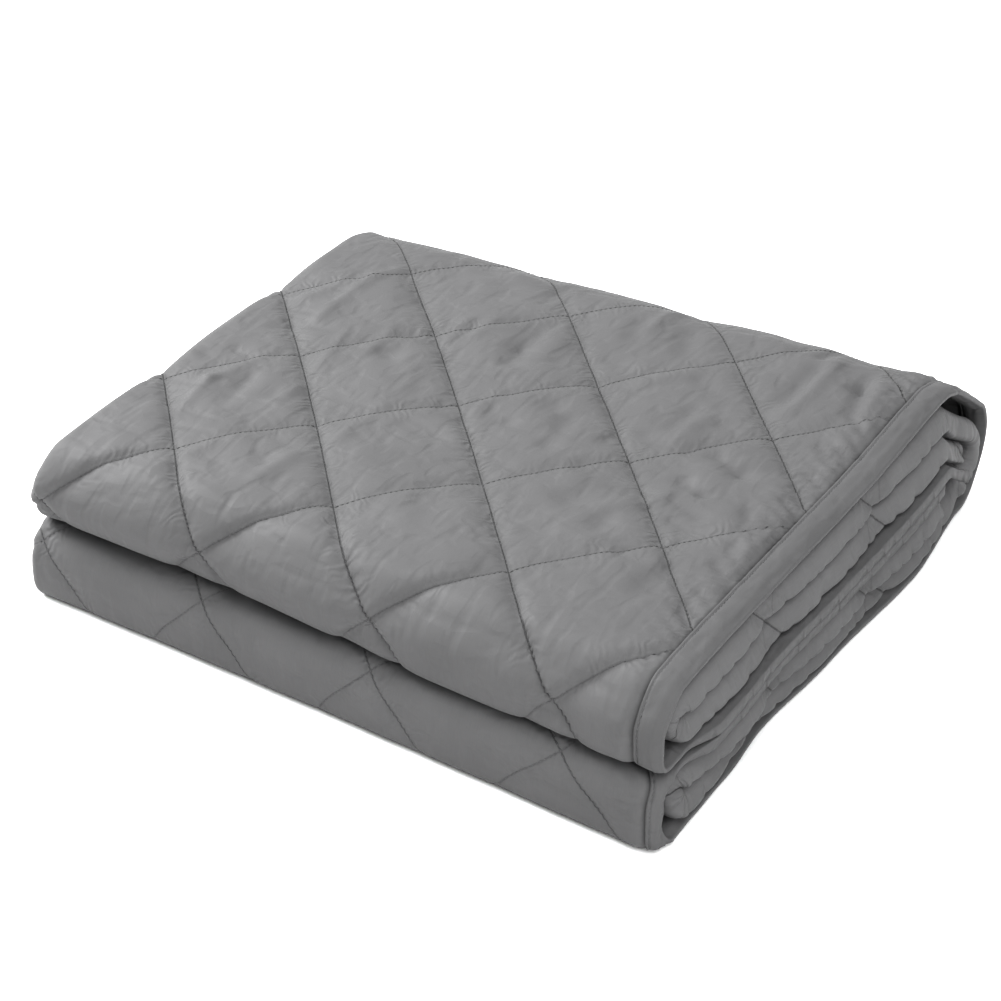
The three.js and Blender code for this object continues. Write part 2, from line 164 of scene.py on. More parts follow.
# %% [markdown]
# ## How the folds differ from true arcs
#
# The front folds aren't half circles. The upper roll droops, the lower one stands square on the
# floor, and the inner plies stay a little behind the cover ply. These are functions of the length
# along the cloth as well.

# %% Uneven folds
UPPER_INNER_BACK = 5 * MM
LOWER_INNER_BACK = 10 * MM
INNER_FOLD_REACH = 60 * MM
UPPER_SLIDE = 2 * MM
UPPER_END_SLIDE = 12 * MM
LOWER_SLIDE = 45 * MM
UPPER_REACH = 3 * MM
LOWER_REACH = 5 * MM
UPPER_EDGE_REACH = 9 * MM
LOWER_EDGE_REACH = 8 * MM
REACH_RAMP = 70 * MM
EDGE_RAMP = 35 * MM
UPPER_DROOP = 3 * MM
LOWER_POWER = 6.0
LOWER_CROWN_POWER = 2.5
QUILTING_RAMP = 30 * MM
FLAT_BASE_SPREAD = 1.0
FRONT_FADE = 35 * MM

# How square the lip of the upper roll is, from left to right
LIP_POWER = np.array(
    [
        # x, power
        (-257, 2.4), (-60, 2.7), (20, 4.0), (90, 7.0), (200, 7.5), (245, 4.5),
    ]
)


def smooth(value):
    """0 below 0, 1 above 1, and the cubic 3t^2 - 2t^3 between."""
    t = np.clip(value, 0, 1)
    return t * t * (3 - 2 * t)


def between(table, at):
    """The table's second column at a place in its first, given in mm and eased with smooth()
    between rows."""
    place, value = table.T
    at = np.clip(at / MM, place[0], place[-1])
    row = np.clip(np.searchsorted(place, at) - 1, 0, len(place) - 2)
    share = smooth((at - place[row]) / (place[row + 1] - place[row]))
    return value[row] * (1 - share) + value[row + 1] * share


def slide(x, length):
    """Where on the path a length of cloth lies: a few millimetres short of it round the upper
    roll's front fold, more at its ends, and some centimetres past it round the lower roll's,
    eased in and out where the cloth is hidden."""
    quarter = fold_radius[UNDER] * math.pi / 2
    on_upper = smooth((fold_end[UNDER] - length) / quarter) * smooth(length / arc_start[UNDER])
    into_base = smooth((length - fold_start[BASE]) / fold_run[BASE])
    on_lower = into_base * smooth((fold_end[OVER] - length) / fold_run[OVER])
    down = (UPPER_SLIDE + UPPER_END_SLIDE * (x / HALF) ** 2) * on_upper
    return length - down + LOWER_SLIDE * on_lower


print("the cloth slides by up to", round(LOWER_SLIDE / MM, 1), "mm on the lower roll")

# %% Shares and shapes along the path
def between_rolls(at, ramp):
    """Two shares: 1 on the run under the upper roll, and 1 on the run over the lower one."""
    return smooth((arc_start[UNDER] - at) / ramp), smooth((at - fold_end[BASE]) / ramp)


def superellipse(angle, power):
    """How much further out than a circle a rounded square is: the sum of the cosine and sine,
    each to that power, to the power of minus its inverse."""
    total = np.abs(np.cos(angle)) ** power + np.abs(np.sin(angle)) ** power
    return total ** (-1 / power)


def squareness(length, x):
    """How far the cover stands out of a front fold's circle. Its lower quarter is a rounded
    square. The lower roll's upper quarter is a rounder one, and the upper roll's upper quarter
    droops with the squared sine of twice the angle."""
    upper = (length - arc_start[UNDER]) / fold_radius[UNDER]
    lower = (length - arc_start[BASE]) / fold_radius[BASE]
    quarter = math.pi / 2
    lip = superellipse(np.clip(upper, 0, quarter), between(LIP_POWER, x)) - 1
    foot = superellipse(np.clip(lower, 0, quarter), LOWER_POWER) - 1
    foot = foot + superellipse(np.clip(lower, quarter, 2 * quarter), LOWER_CROWN_POWER) - 1
    droop = UPPER_DROOP * np.sin(2 * np.clip(upper, quarter, 2 * quarter)) ** 2
    return roll_radius * (lip + foot) - droop


def on_fold(length, fold, reach):
    """1 on the arc of a fold, fading out past both its ends."""
    away = np.maximum(arc_start[fold] - length, length - fold_end[fold])
    return smooth(1 - away / reach)


def front_at(length):
    """1 on the two front folds, fading out past them."""
    return np.maximum(on_fold(length, UNDER, FRONT_FADE), on_fold(length, BASE, FRONT_FADE))


def drawn_back(length):
    """How far the inner plies stay behind a front fold, fading out along the layers."""
    upper = UPPER_INNER_BACK * on_fold(length, UNDER, INNER_FOLD_REACH)
    lower = LOWER_INNER_BACK * on_fold(length, BASE, INNER_FOLD_REACH)
    return np.maximum(upper, lower)


def quilting_at(length):
    """1 where the cover's face shows, 0 between layers and on the flat base."""
    shown = np.zeros_like(length)
    starts = ((UNDER, arc_start), (TOP, fold_start), (BACK, fold_start), (BASE, arc_start))
    for fold, first in starts:
        inside = np.minimum(length - first[fold], fold_end[fold] - length)
        shown = np.maximum(shown, smooth(1 + inside / QUILTING_RAMP))
    out_z = place_at(length)[3]
    ends = np.minimum(
        smooth((length - arc_start[UNDER]) / QUILTING_RAMP),
        smooth((fold_end[BASE] - length) / QUILTING_RAMP),
    )
    return shown * ends * smooth((out_z + 1) / FLAT_BASE_SPREAD)


print("share of quilting on the top", float(quilting_at(arc_start[TOP])))

# %% [markdown]
# ## Soft noise
#
# Cloth is never even. A lattice of random heights, smoothed between its points, gives unevenness
# that is the same on every run because its seed is fixed. Each use of it has its own seed.

# %% Noise
LATTICE = 256
SEED_BINDING = 5
SEED_PUCKER_WOBBLE, SEED_PUCKER_AMOUNT = 11, 23
SEED_SCALLOP, SEED_FAN, SEED_NOTCH = 31, 33, 35
SEED_RUMPLE, SEED_FINE_RUMPLE, SEED_EDGE_PUCKER = 71, 72, 73


def soft_noise(x, y, cell, seed):
    """Random heights from -1 to 1 on a square lattice, blended between its points with the
    cubic of smooth()."""
    heights = np.random.default_rng(seed).uniform(-1, 1, (LATTICE, LATTICE))
    px, py = x / cell, y / cell
    ix, iy = np.floor(px).astype(int), np.floor(py).astype(int)
    fx, fy = smooth(px - ix), smooth(py - iy)
    ix, iy = ix % LATTICE, iy % LATTICE
    jx, jy = (ix + 1) % LATTICE, (iy + 1) % LATTICE
    low = heights[ix, iy] * (1 - fx) + heights[jx, iy] * fx
    high = heights[ix, jy] * (1 - fx) + heights[jx, jy] * fx
    return low * (1 - fy) + high * fy


print("noise at one point", round(float(soft_noise(0.3, 0.3, 1.0, SEED_RUMPLE)), 3))

# %% [markdown]
# ## The quilted relief
#
# Two families of seams cross the cloth. Counting diamonds along each family gives two numbers
# that are whole on a seam. The distance to the nearest whole number is the distance to the seam,
# and the height of the face is a function of it: a narrow groove where the stitches pull the
# faces together, then a soft pillow. The pillows lean, so a seam has a steep side and a gentle
# one, and a power for each side gives that. On the front folds the filling sinks, and on the lip
# of the upper roll the seams pull deeper.

# %% Pillows between the seams
SEAM_SPACING = 1 / math.hypot(1 / DIAMOND_X, 1 / DIAMOND_V)
SEAM_DEPTH = 3.0 * MM
FRONT_DEPTH = 0.8 * MM
PUFF = 2.0 * MM
FRONT_PUFF = 0.2 * MM
FRONT_SINK = 5 * MM
LIP_PINCH = 9 * MM
SECOND_FAMILY = 0.3
FRONT_SECOND = 0.6

# How steeply the pillows fall to a seam of each family, on the seam's left and on its right
TOP_POWERS = np.array([(6.0, 1.9), (10.0, 10.0)])
FRONT_POWERS = np.array([(9.0, 9.0), (3.0, 9.0)])


def seam_counts(across, along):
    """The number of diamonds along each family of seams, whole on a seam."""
    a = (across - SEAM_CROSSING_X) / DIAMOND_X
    b = (along - seam_start) / DIAMOND_V
    return b + a, b - a


def pillows(across, along, shares, front):
    """0 on a seam and 1 between seams, for each family by its share: one less a power of how
    near the seam is. With its two powers each pillow of the first family leans: it rises gently
    from its left seam and drops steeply to its right one."""
    height = 1.0
    for family, count in enumerate(seam_counts(across, along)):
        off = count - np.round(count)
        side = np.where(off < 0, 0, 1)
        on_top = TOP_POWERS[family][side]
        power = on_top + (FRONT_POWERS[family][side] - on_top) * front
        height = height * (1 - shares[family] * (1 - 2 * np.abs(off)) ** power)
    return height


print("seams", round(SEAM_SPACING / MM, 1), "mm apart")

# %% [markdown]
# Short puckers cross the seams, because the cloth between the stitches is a little too long for
# them. Each is a wave along the seam, which soft noise bends and weakens here and there.

# %% Grooves and puckers
GROOVE_DEPTH = 0.9 * MM
GROOVE_WIDTH = 2.2 * MM
PUCKER_HEIGHT = 0.65 * MM
PUCKER_START = 3 * MM
PUCKER_REACH = 13 * MM
PUCKER_PITCH = 10.5 * MM
PUCKER_WOBBLE = 0.8
PUCKER_SHIFT = 0.37
WOBBLE_CELL = 1.6 * PUCKER_PITCH
AMOUNT_CELL = 3 * PUCKER_PITCH

# How far apart two seams, and the two sides of one, read the noise
WOBBLE_LANE, WOBBLE_SIDE = 1.7, 0.4
AMOUNT_LANE = 3.1


def seam_detail(across, along, shares):
    """Grooves on the seams, which fall off with the squared distance, and puckers that cross
    them, full at a short distance and then fading with its square."""
    counts = seam_counts(across, along)
    detail = np.zeros(np.shape(across))
    for family, share in enumerate(shares):
        nearest = np.round(counts[family])
        distance = np.abs(counts[family] - nearest) * SEAM_SPACING
        detail -= share * GROOVE_DEPTH * np.exp(-((distance / GROOVE_WIDTH) ** 2))
        run = counts[1 - family] * SEAM_SPACING
        side = np.sign(counts[family] - nearest)
        lane = nearest * WOBBLE_LANE + side * WOBBLE_SIDE
        wobble = soft_noise(run, lane, WOBBLE_CELL, SEED_PUCKER_WOBBLE + family)
        phase = run / PUCKER_PITCH + PUCKER_WOBBLE * wobble + PUCKER_SHIFT * nearest
        lane = nearest * AMOUNT_LANE + side
        amount = (1 + soft_noise(run, lane, AMOUNT_CELL, SEED_PUCKER_AMOUNT + family)) / 2
        near = distance / PUCKER_START
        fade = near * np.exp(1 - near) * np.exp(-((distance / PUCKER_REACH) ** 2))
        detail += share * PUCKER_HEIGHT * np.sin(2 * math.pi * phase) * amount * fade
    return detail


def relief(across, along, front, lip):
    """Height of the quilted face: pillows that sink on the front folds, grooves and puckers. On
    the lip of the upper roll the seams pull deeper."""
    across, along, front = np.broadcast_arrays(across, along, front)
    shares = (1.0, SECOND_FAMILY + FRONT_SECOND * front)
    sunk = along + FRONT_SINK * front * pillows(across, along, shares, front)
    deep = SEAM_DEPTH + FRONT_DEPTH * front + LIP_PINCH * lip
    high = deep + PUFF + FRONT_PUFF * front
    return high * pillows(across, sunk, shares, front) - deep + seam_detail(across, along, shares)


crossing = relief(np.array(SEAM_CROSSING_X), np.array(seam_start), 0.0, 0.0)
print("a crossing of seams lies", round(float(-crossing) / MM, 1), "mm deep")

# %% [markdown]
# ## The main creases
#
# The satin doesn't lie flat between the seams. The main creases of the top are listed one by
# one, each a soft ridge or trough along a line. Their places count from the middle of the pile
# across it, and from a row of seam crossings along it. Smaller unevenness is soft noise of two
# sizes.

# %% Creases of the top
CREASES = np.array(
    [
        # x, v, to x, to v, height, width
        (-203, -107, -206, -71, 0.9, 6), (-206, -71, -192, -23, 0.8, 6),
        (-192, 50, -193, 133, 0.9, 6), (-193, 133, -179, 163, 0.7, 6),
        (-220, 77, -208, 115, 0.7, 7), (-149, -8, -158, 36, 0.8, 6),
        (-128, 28, -130, 67, 0.8, 6), (-96, 31, -74, -5, 0.6, 7),
        (-78, -91, -76, -39, 0.7, 7), (-144, -73, -145, -42, 0.7, 6),
        (-94, -160, -91, -122, 0.8, 7), (-172, -191, -152, -143, 0.8, 7),
        (-90, 83, -94, 109, 0.7, 5), (-75, 88, -75, 117, 0.7, 5),
        (-16, -1, -16, 25, 0.6, 6), (29, 163, 34, 205, 0.9, 6),
        (172, 113, 174, 186, 1.0, 6), (218, 128, 214, 176, 0.8, 6),
        (126, -60, 150, -30, 0.7, 8), (64, 96, 88, 124, 0.7, 8),
        (120, 40, 128, 72, 0.8, 8), (-46, 40, -10, 60, 0.7, 9),
        (-182, -52, -178, -89, -1.0, 8), (-234, -112, -214, -106, -0.8, 7),
        (-234, -33, -214, -21, -0.8, 7), (-214, 25, -202, 39, -0.7, 7),
        (-116, 29, -112, 31, -1.0, 9), (-126, 67, -97, 62, -1.1, 7),
        (-152, -63, -149, -66, -0.9, 8), (-116, -110, -96, -115, -0.9, 7),
        (-107, -139, -105, -142, -0.8, 8), (-48, -47, -20, -50, -1.1, 8),
        (-38, -13, -18, -20, -0.9, 7), (-30, 68, -35, 88, -1.0, 8),
        (-35, 88, -36, 133, -1.2, 9), (-60, 169, -56, 191, -0.7, 7),
        (-3, 87, -4, 111, -0.7, 7), (26, 30, 28, 32, -1.0, 9),
        (52, -18, 46, 23, -1.1, 8), (12, -6, 36, -8, -0.9, 7),
        (27, -49, 37, -51, -0.6, 6), (25, 146, 24, 168, -0.8, 8),
        (28, 111, 36, 111, -0.7, 8), (69, 147, 60, 176, -1.2, 10),
        (86, -30, 116, -28, -1.0, 7), (99, -66, 102, -60, -1.1, 11),
        (84, 8, 84, 20, -0.7, 8), (102, 33, 112, 31, -0.8, 8),
        (115, 50, 114, 80, -0.9, 7), (100, 114, 121, 108, -1.0, 8),
        (133, -88, 131, -69, -1.0, 8), (94, -114, 106, -108, -0.8, 6),
        (138, 31, 156, 35, -1.1, 7), (156, 35, 180, 26, -1.2, 8),
        (180, 26, 196, 35, -1.1, 8), (152, -5, 172, -12, -1.0, 6),
        (172, -12, 191, -7, -1.1, 6), (160, -30, 181, -37, -1.0, 6),
        (168, -50, 185, -55, -1.0, 6), (163, 127, 165, 171, -1.0, 8),
        (213, 131, 202, 166, -1.7, 7), (202, 166, 200, 182, -1.4, 6),
        (202, -7, 212, -25, -0.9, 6), (190, -135, 192, -98, -0.8, 8),
        (160, -103, 176, -101, -0.8, 6), (160, 191, 162, 207, -1.0, 5),
        (96, -167, 116, -169, -0.8, 8), (225, 86, 237, 73, -1.1, 4),
        (210, 85, 220, 75, -0.9, 4), (218, 49, 231, 45, -0.9, 4),
        (219, -53, 233, -61, -0.9, 4), (216, -79, 236, -93, -1.1, 4),
        (220, -110, 233, -118, -1.0, 4), (226, 111, 238, 99, -0.9, 4),
        (221, 12, 236, 2, -0.8, 4),
    ]
)
CREASE_SCALE = 2.3


def creases(x, v):
    """The sum of soft ridges and troughs: each falls off with the squared distance to its
    line."""
    total = np.zeros(np.broadcast(x, v).shape)
    for from_x, from_v, to_x, to_v, height, width in CREASES * MM:
        run_x, run_v = to_x - from_x, to_v - from_v
        share = ((x - from_x) * run_x + (v - from_v) * run_v) / (run_x**2 + run_v**2)
        share = np.clip(share, 0, 1)
        far = (x - from_x - share * run_x) ** 2 + (v - from_v - share * run_v) ** 2
        total += height * np.exp(-far / width**2)
    return total


print(len(CREASES), "creases placed by hand")

# %% Smaller unevenness
RUMPLE = 1.1 * MM
RUMPLE_CELL = 24 * MM
RUMPLE_LEAN = 0.4
FINE_RUMPLE = 0.25
FINE_RUMPLE_CELL = RUMPLE_CELL / 2.2
FINE_RUMPLE_LEAN = 0.5
EDGE_PUCKER = 1.8 * MM
EDGE_PUCKER_PITCH = 11 * MM
EDGE_PUCKER_REACH = 21 * MM
EDGE_PUCKER_LEAN = 0.5
EDGE_PUCKER_WOBBLE = 0.7


def rumple(x, v):
    """Soft noise of two sizes, and short puckers square to the binding, which fade with the
    squared distance to it."""
    large = soft_noise(x + RUMPLE_LEAN * v, v, RUMPLE_CELL, SEED_RUMPLE)
    small = soft_noise(x - FINE_RUMPLE_LEAN * v, v, FINE_RUMPLE_CELL, SEED_FINE_RUMPLE)
    wobble = soft_noise(v, 0 * x, 2 * EDGE_PUCKER_PITCH, SEED_EDGE_PUCKER)
    phase = (v + EDGE_PUCKER_LEAN * x) / EDGE_PUCKER_PITCH + EDGE_PUCKER_WOBBLE * wobble
    to_binding = np.maximum(0, cover_end - x) / EDGE_PUCKER_REACH
    pucker = EDGE_PUCKER * np.sin(2 * math.pi * phase) * np.exp(-(to_binding**2))
    return RUMPLE * (large + FINE_RUMPLE * small) + pucker


print("puckers", round(EDGE_PUCKER_PITCH / MM, 1), "mm apart beside the binding")

# %% [markdown]
# ## The section of three plies
#
# Across its width the cloth is one back-and-forth section: the cover ply with the bound edge, a
# fold at the left, the middle ply, the inner fold at the right, and the last ply. Each stretch
# of it adds columns to the section. A column has a place, a direction out of the cloth, its
# share of the inner fold, how much quilting shows there, and where it is across the flat cloth.

# %% The section's sizes
INNER_FOLD_SETBACK = 1 * MM
FREE_EDGE_SETBACK = 14 * MM
FREE_EDGE_BEVEL = 3 * MM
FIT = 0.3 * MM
BOUND_DEPTH = 4.1 * MM
BOUND_TIP = 3.2 * MM
UNDER_FACE_SETBACK = 31 * MM
UNDER_FACE_COLUMNS = 5
INNER_FOLD_POWER = 2.5
INNER_SLACK = 1.063
SEAM_STEPS = 23

# Half the thickness of the ply under the binding, by the distance inside its edge
BOUND_PLY = np.array(
    [
        # inset, half
        (21.2, 2.0), (20, 2.0), (12, 2.6), (6.5, 2.3), (3.5, 1.4), (0, 0.6),
    ]
)

step_x = DIAMOND_X / 2 / SEAM_STEPS
step_v = DIAMOND_V / 2 / SEAM_STEPS
fold_size = PLY + GAP / 2
left_centre = -HALF + fold_size
right_centre = HALF - INNER_FOLD_SETBACK - fold_size
fold_cloth = math.pi * (PLY + GAP) / 2
middle_start = left_centre - fold_cloth
last_start = middle_start - INNER_SLACK * (right_centre - left_centre) - fold_cloth
columns = []


def stretch(x, depth, across, inner=0.0, out_x=0.0, out_n=0.0, quilted=0.0):
    """Adds a run of columns to the section."""
    made = np.broadcast_arrays(x, depth, across, inner, out_x, out_n, quilted)
    columns.append(np.array(made, float).reshape(len(made), -1))


def in_middle_ply(x):
    """Where across the flat cloth a place on the middle ply is: its distance from the left
    fold, with some slack."""
    return middle_start - INNER_SLACK * (x - left_centre)


def in_last_ply(x):
    """The same for the last ply, from the right fold and without slack."""
    return last_start - (right_centre - x)


print("the last ply starts", round(-last_start, 3), "m across the cloth")

# %% Cover ply and its bound edge
first_column = math.ceil((left_centre + step_x / 2 - SEAM_CROSSING_X) / step_x)
last_column = math.floor((cover_end - SEAM_CROSSING_X) / step_x)
face_x = SEAM_CROSSING_X + step_x * np.arange(first_column, last_column + 1)
stretch(face_x, 0.0, face_x, out_n=1.0, quilted=1.0)
face_columns = len(face_x)

bound_inset, bound_half = (BOUND_PLY[:4] * MM).T
bound_x = HALF - bound_inset
stretch(bound_x, BOUND_DEPTH - bound_half, bound_x, out_n=1.0)
stretch(HALF - BOUND_TIP - FIT, BOUND_DEPTH, HALF)
stretch(bound_x[::-1], (BOUND_DEPTH + bound_half)[::-1], bound_x[::-1])
under_x = np.linspace(HALF - UNDER_FACE_SETBACK, left_centre, UNDER_FACE_COLUMNS)
stretch(under_x, PLY, under_x)
stretch(left_centre - GAP / 2, PLY + GAP / 2, left_centre, inner=0.5)
print(face_columns, "columns on the cover's face")

# %% Middle and last ply
INNER_FOLD_COLUMNS = 27
INNER_RUN_COLUMNS = 3
INNER_RUN_END = 40 * MM
INNER_FOLD_START = 14 * MM

inner_run = np.linspace(left_centre, right_centre - INNER_RUN_END, INNER_RUN_COLUMNS)
inner_x = np.append(inner_run, right_centre - INNER_FOLD_START)
stretch(inner_x, PLY + GAP, in_middle_ply(inner_x), inner=1.0)
turn = np.linspace(0, math.pi, INNER_FOLD_COLUMNS)
turn_size = fold_size * superellipse(turn, INNER_FOLD_POWER)
stretch(
    right_centre + turn_size * np.sin(turn),
    LAYER - fold_size - turn_size * np.cos(turn),
    last_start + fold_cloth * (1 - turn / math.pi),
    inner=1.0,
    out_x=np.sin(turn),
    out_n=np.cos(turn),
    quilted=np.sin(turn),
)
free_end = -HALF + FREE_EDGE_SETBACK
last_x = inner_x[:0:-1]
stretch(last_x, LAYER, in_last_ply(last_x), inner=1.0)
edge_x = free_end + np.array([FREE_EDGE_BEVEL, 0, 0, FREE_EDGE_BEVEL])
edge_depth = LAYER - np.array([0, FREE_EDGE_BEVEL, PLY - FREE_EDGE_BEVEL, PLY])
stretch(edge_x, edge_depth, in_last_ply(edge_x), inner=1.0)
back_x = inner_x[1:]
stretch(back_x, LAYER - PLY, in_last_ply(back_x), inner=1.0)
hook_x = right_centre + np.array([0, GAP / 2, 0])
hook_depth = LAYER - PLY - np.array([0, GAP / 2, GAP])
stretch(hook_x, hook_depth, last_start, inner=1.0)
stretch(last_x, LAYER - PLY - GAP, in_middle_ply(last_x), inner=1.0)
print("inner fold", round(2 * fold_size / MM, 1), "mm high")

# %% Left fold
LEFT_FOLD_COLUMNS = 13
LEFT_QUILTING = 0.9

turn = np.linspace(math.pi, 0, LEFT_FOLD_COLUMNS)
stretch(
    left_centre - fold_size * np.sin(turn),
    fold_size * (1 - np.cos(turn)),
    left_centre - fold_cloth * turn / math.pi,
    inner=(1 - np.cos(turn)) / 2,
    out_x=-np.sin(turn),
    out_n=np.cos(turn),
    quilted=smooth((1 + np.cos(turn)) * LEFT_QUILTING),
)
section = np.concatenate(columns, axis=1)
section_across = section[2]
print("section of", section.shape[1], "columns")

# %% [markdown]
# ## Carrying the section along the path
#
# Rows are the second parameter. They lie on multiples of the seam's own step, so that every seam
# runs through the corners of the grid. Between the layers only every twelfth column of the face
# is kept.

# %% Rows
HIDDEN_COLUMNS = 12
SHOWN_MARGIN = 24 * MM

row_number = np.arange(
    math.ceil((step_v / 2 - seam_start) / step_v),
    math.floor((fold_end[-1] - step_v / 2 - seam_start) / step_v) + 1,
)
row_length = seam_start + step_v * row_number
row_at = slide(0.0, row_length)
near_top = (row_at > arc_start[UNDER] - SHOWN_MARGIN) & (row_at < fold_end[BACK] + SHOWN_MARGIN)
near_low = (row_at > arc_start[BASE] - SHOWN_MARGIN) & (row_at < fold_end[BASE] + SHOWN_MARGIN)
row_length = np.concatenate([[0.0], row_length, [fold_end[-1]]])
fine = np.concatenate([[False], near_top | near_low, [False]])
print(len(row_length), "rows,", int(fine.sum()), "of them fine")

# %% How the pile has settled
CROWN_FALL = 0.055
CROWN_FALL_RIGHT = 0.7
LEFT_TAPER = 0.055
LEFT_REACH = 11 * MM
LEFT_REACH_DROP = 42 * MM
LEFT_SKEW = 0.022
FRONT_BOW = 2.5 * MM
FRONT_FALL = 6 * MM
FRONT_FALL_FROM = -150 * MM
FRONT_FALL_RUN = 106 * MM
BACK_FROM = 20 * MM
BACK_RUN = 140 * MM
STAND_OFF = 13 * MM
STAND_OFF_FROM = np.array([130, 120, 35]) * MM
STAND_OFF_RUN = np.array([110, 80, 50]) * MM

# How far the lowest layer reaches past the right end, from front to back
RIGHT_REACH = np.array(
    [
        # y, reach
        (-250, 5.0), (-160, 4.0), (-105, 0.0), (-20, 5.5), (110, 12.5), (204, 4.0), (256, 0.0),
    ]
)

# How much the top of the back fold rises or sinks, from left to right
BACK_RISE = np.array(
    [
        # x, rise
        (-257, 0.0), (-150, -2.5), (0, 0.5), (150, 3.5), (257, 3.5),
    ]
)


def settled(x, y, z):
    """The pile isn't a true block: the left end is narrower, the top falls to the front and to
    both ends but not at the back on the right, the ends come forward at the foot, and lower
    layers reach further out than the top."""
    to_end = x / HALF
    level = z / HEIGHT
    right, left = smooth(to_end), smooth(-to_end)
    out_right = right * between(RIGHT_REACH, y) * MM * (1 - level)
    front_share = 1 - smooth((y - FRONT) / FOLDED_WIDTH) / 2
    reach = LEFT_REACH * smooth((HEIGHT - z) / LEFT_REACH_DROP) * front_share
    out_left = left * (reach + LEFT_SKEW * y)
    narrowed = 1 - LEFT_TAPER * (1 - to_end) / 2
    at_front = smooth(-y / (FOLDED_WIDTH / 2)) * (1 - level)
    at_back = smooth((y - BACK_FROM) / BACK_RUN)
    fall_share = 1 - right * (1 - CROWN_FALL_RIGHT * (1 - at_back))
    fall = CROWN_FALL * to_end**4 * fall_share
    rise = between(BACK_RISE, x) * MM * at_back * level
    forward = np.clip((FRONT_FALL_FROM - y) / FRONT_FALL_RUN, 0, 1)
    drop = FRONT_FALL * forward**2 * level
    return (
        x + out_right - out_left,
        FRONT + (y - FRONT) * narrowed - FRONT_BOW * to_end**2 * at_front,
        z * (1 - fall) + rise - drop,
    )


def stand_off(at, inner, x, y, z):
    """How far the plies inside the pile stand off from the cover at the back right corner."""
    covers = (at > fold_start[TOP]) & (at < fold_end[BASE])
    inside = 1 - covers * (1 - inner)
    share = 1.0
    for place, begins, run in zip((x, y, z), STAND_OFF_FROM, STAND_OFF_RUN):
        share = share * smooth((place - begins) / run)
    return STAND_OFF * inside * share


corner = settled(HALF, -FRONT, HEIGHT)
print("back right corner of the pile", [round(float(value), 3) for value in corner])

# %% [markdown]
# The inner fold's free side isn't a plain round. Its face leans outward and ends in a thin rim
# below, which hangs in small scallops between notches, and short creases fan up from the
# notches. The scallops are half waves of a phase along the cloth, bent by soft noise.

# %% Rims of the inner fold
INNER_FOLD_DROOP = 4 * MM
RIM_REACH = 2.6 * MM
RIM_SHARPNESS = 2.5
SCALLOP_PITCH = 25 * MM
SCALLOP_CELL = 32.5 * MM
SCALLOP_WOBBLE = 0.8
SCALLOP_POWER = 0.6
SCALLOP_LEAST, SCALLOP_MORE = 0.15, 0.5
NOTCH_DEPTH = 2.0 * MM
NOTCH_WIDTH = 0.13
NOTCH_CELL = 27.5 * MM
NOTCH_STRENGTH = 0.6
NOTCH_TOP = 0.75
NOTCH_FADE = 1.2
FAN_CELL = 22.5 * MM
FAN_SWING = 0.198
FAN_FOOT = 0.7


def along_noise(length, cell, seed):
    """Soft noise that changes along the cloth alone."""
    return soft_noise(length, 0 * length, cell, seed)


def rim(length, inner, out_x, out_n, out_z):
    """How far the inner fold reaches out: on its lower half a rim, less in the notches, and a
    groove that fades upward from each notch."""
    low = np.clip(-2 * out_x * out_n * out_z, 0, 1)
    up = np.clip(out_n * out_z, -1, 1)
    phase = length / SCALLOP_PITCH
    phase = phase + SCALLOP_WOBBLE * along_noise(length, SCALLOP_CELL, SEED_SCALLOP)
    scallop = np.abs(np.sin(math.pi * phase)) ** SCALLOP_POWER
    fanned = phase + FAN_SWING * along_noise(length, FAN_CELL, SEED_FAN) * (up + FAN_FOOT)
    to_notch = np.abs(fanned - np.round(fanned)) / NOTCH_WIDTH
    strength = along_noise(length, NOTCH_CELL, SEED_NOTCH)
    strength = NOTCH_STRENGTH + (1 - NOTCH_STRENGTH) * strength
    groove = np.exp(-(to_notch**2)) * smooth((NOTCH_TOP - up) / NOTCH_FADE) * strength
    dip = (SCALLOP_LEAST + SCALLOP_MORE * strength) * (1 - scallop)
    reach = RIM_REACH * low**RIM_SHARPNESS * (1 - dip)
    return np.clip(out_x, 0, 1) * inner * (reach - NOTCH_DEPTH * groove)


print("notches about", round(SCALLOP_PITCH / MM, 1), "mm apart")

# %% [markdown]
# The bound edge of the cover ply has three shapes of its own. Between the rolls it is blunt,
# beside the binding the face sinks a little, and on the lower front fold the edge is turned in.

# %% The bound edge
BLUNT = 0.8
BLUNT_HALF = 5.0 * MM
BLUNT_SHIFT = 0.5 * MM
BESIDE_BINDING = 8 * MM
BESIDE_SINK = 2.2 * MM
TURN_IN_FROM = 12 * MM
TURN_IN_RADIUS = 10 * MM
TURN_IN_BEGINS, TURN_IN_EASE = 0.2, 0.6
TURN_IN_SHIFT = 12 * MM
TURN_IN_SHIFT_FROM = 100 * MM
TURN_IN_SHIFT_RUN = 150 * MM


def blunt_edge(bound, depth):
    """Where the edge is bound, its faces move most of the way to one distance from its
    middle."""
    off_centre = depth - BOUND_DEPTH
    blunt = BLUNT * (np.sign(off_centre) * BLUNT_HALF - off_centre)
    return depth + bound * (blunt + BLUNT_SHIFT)


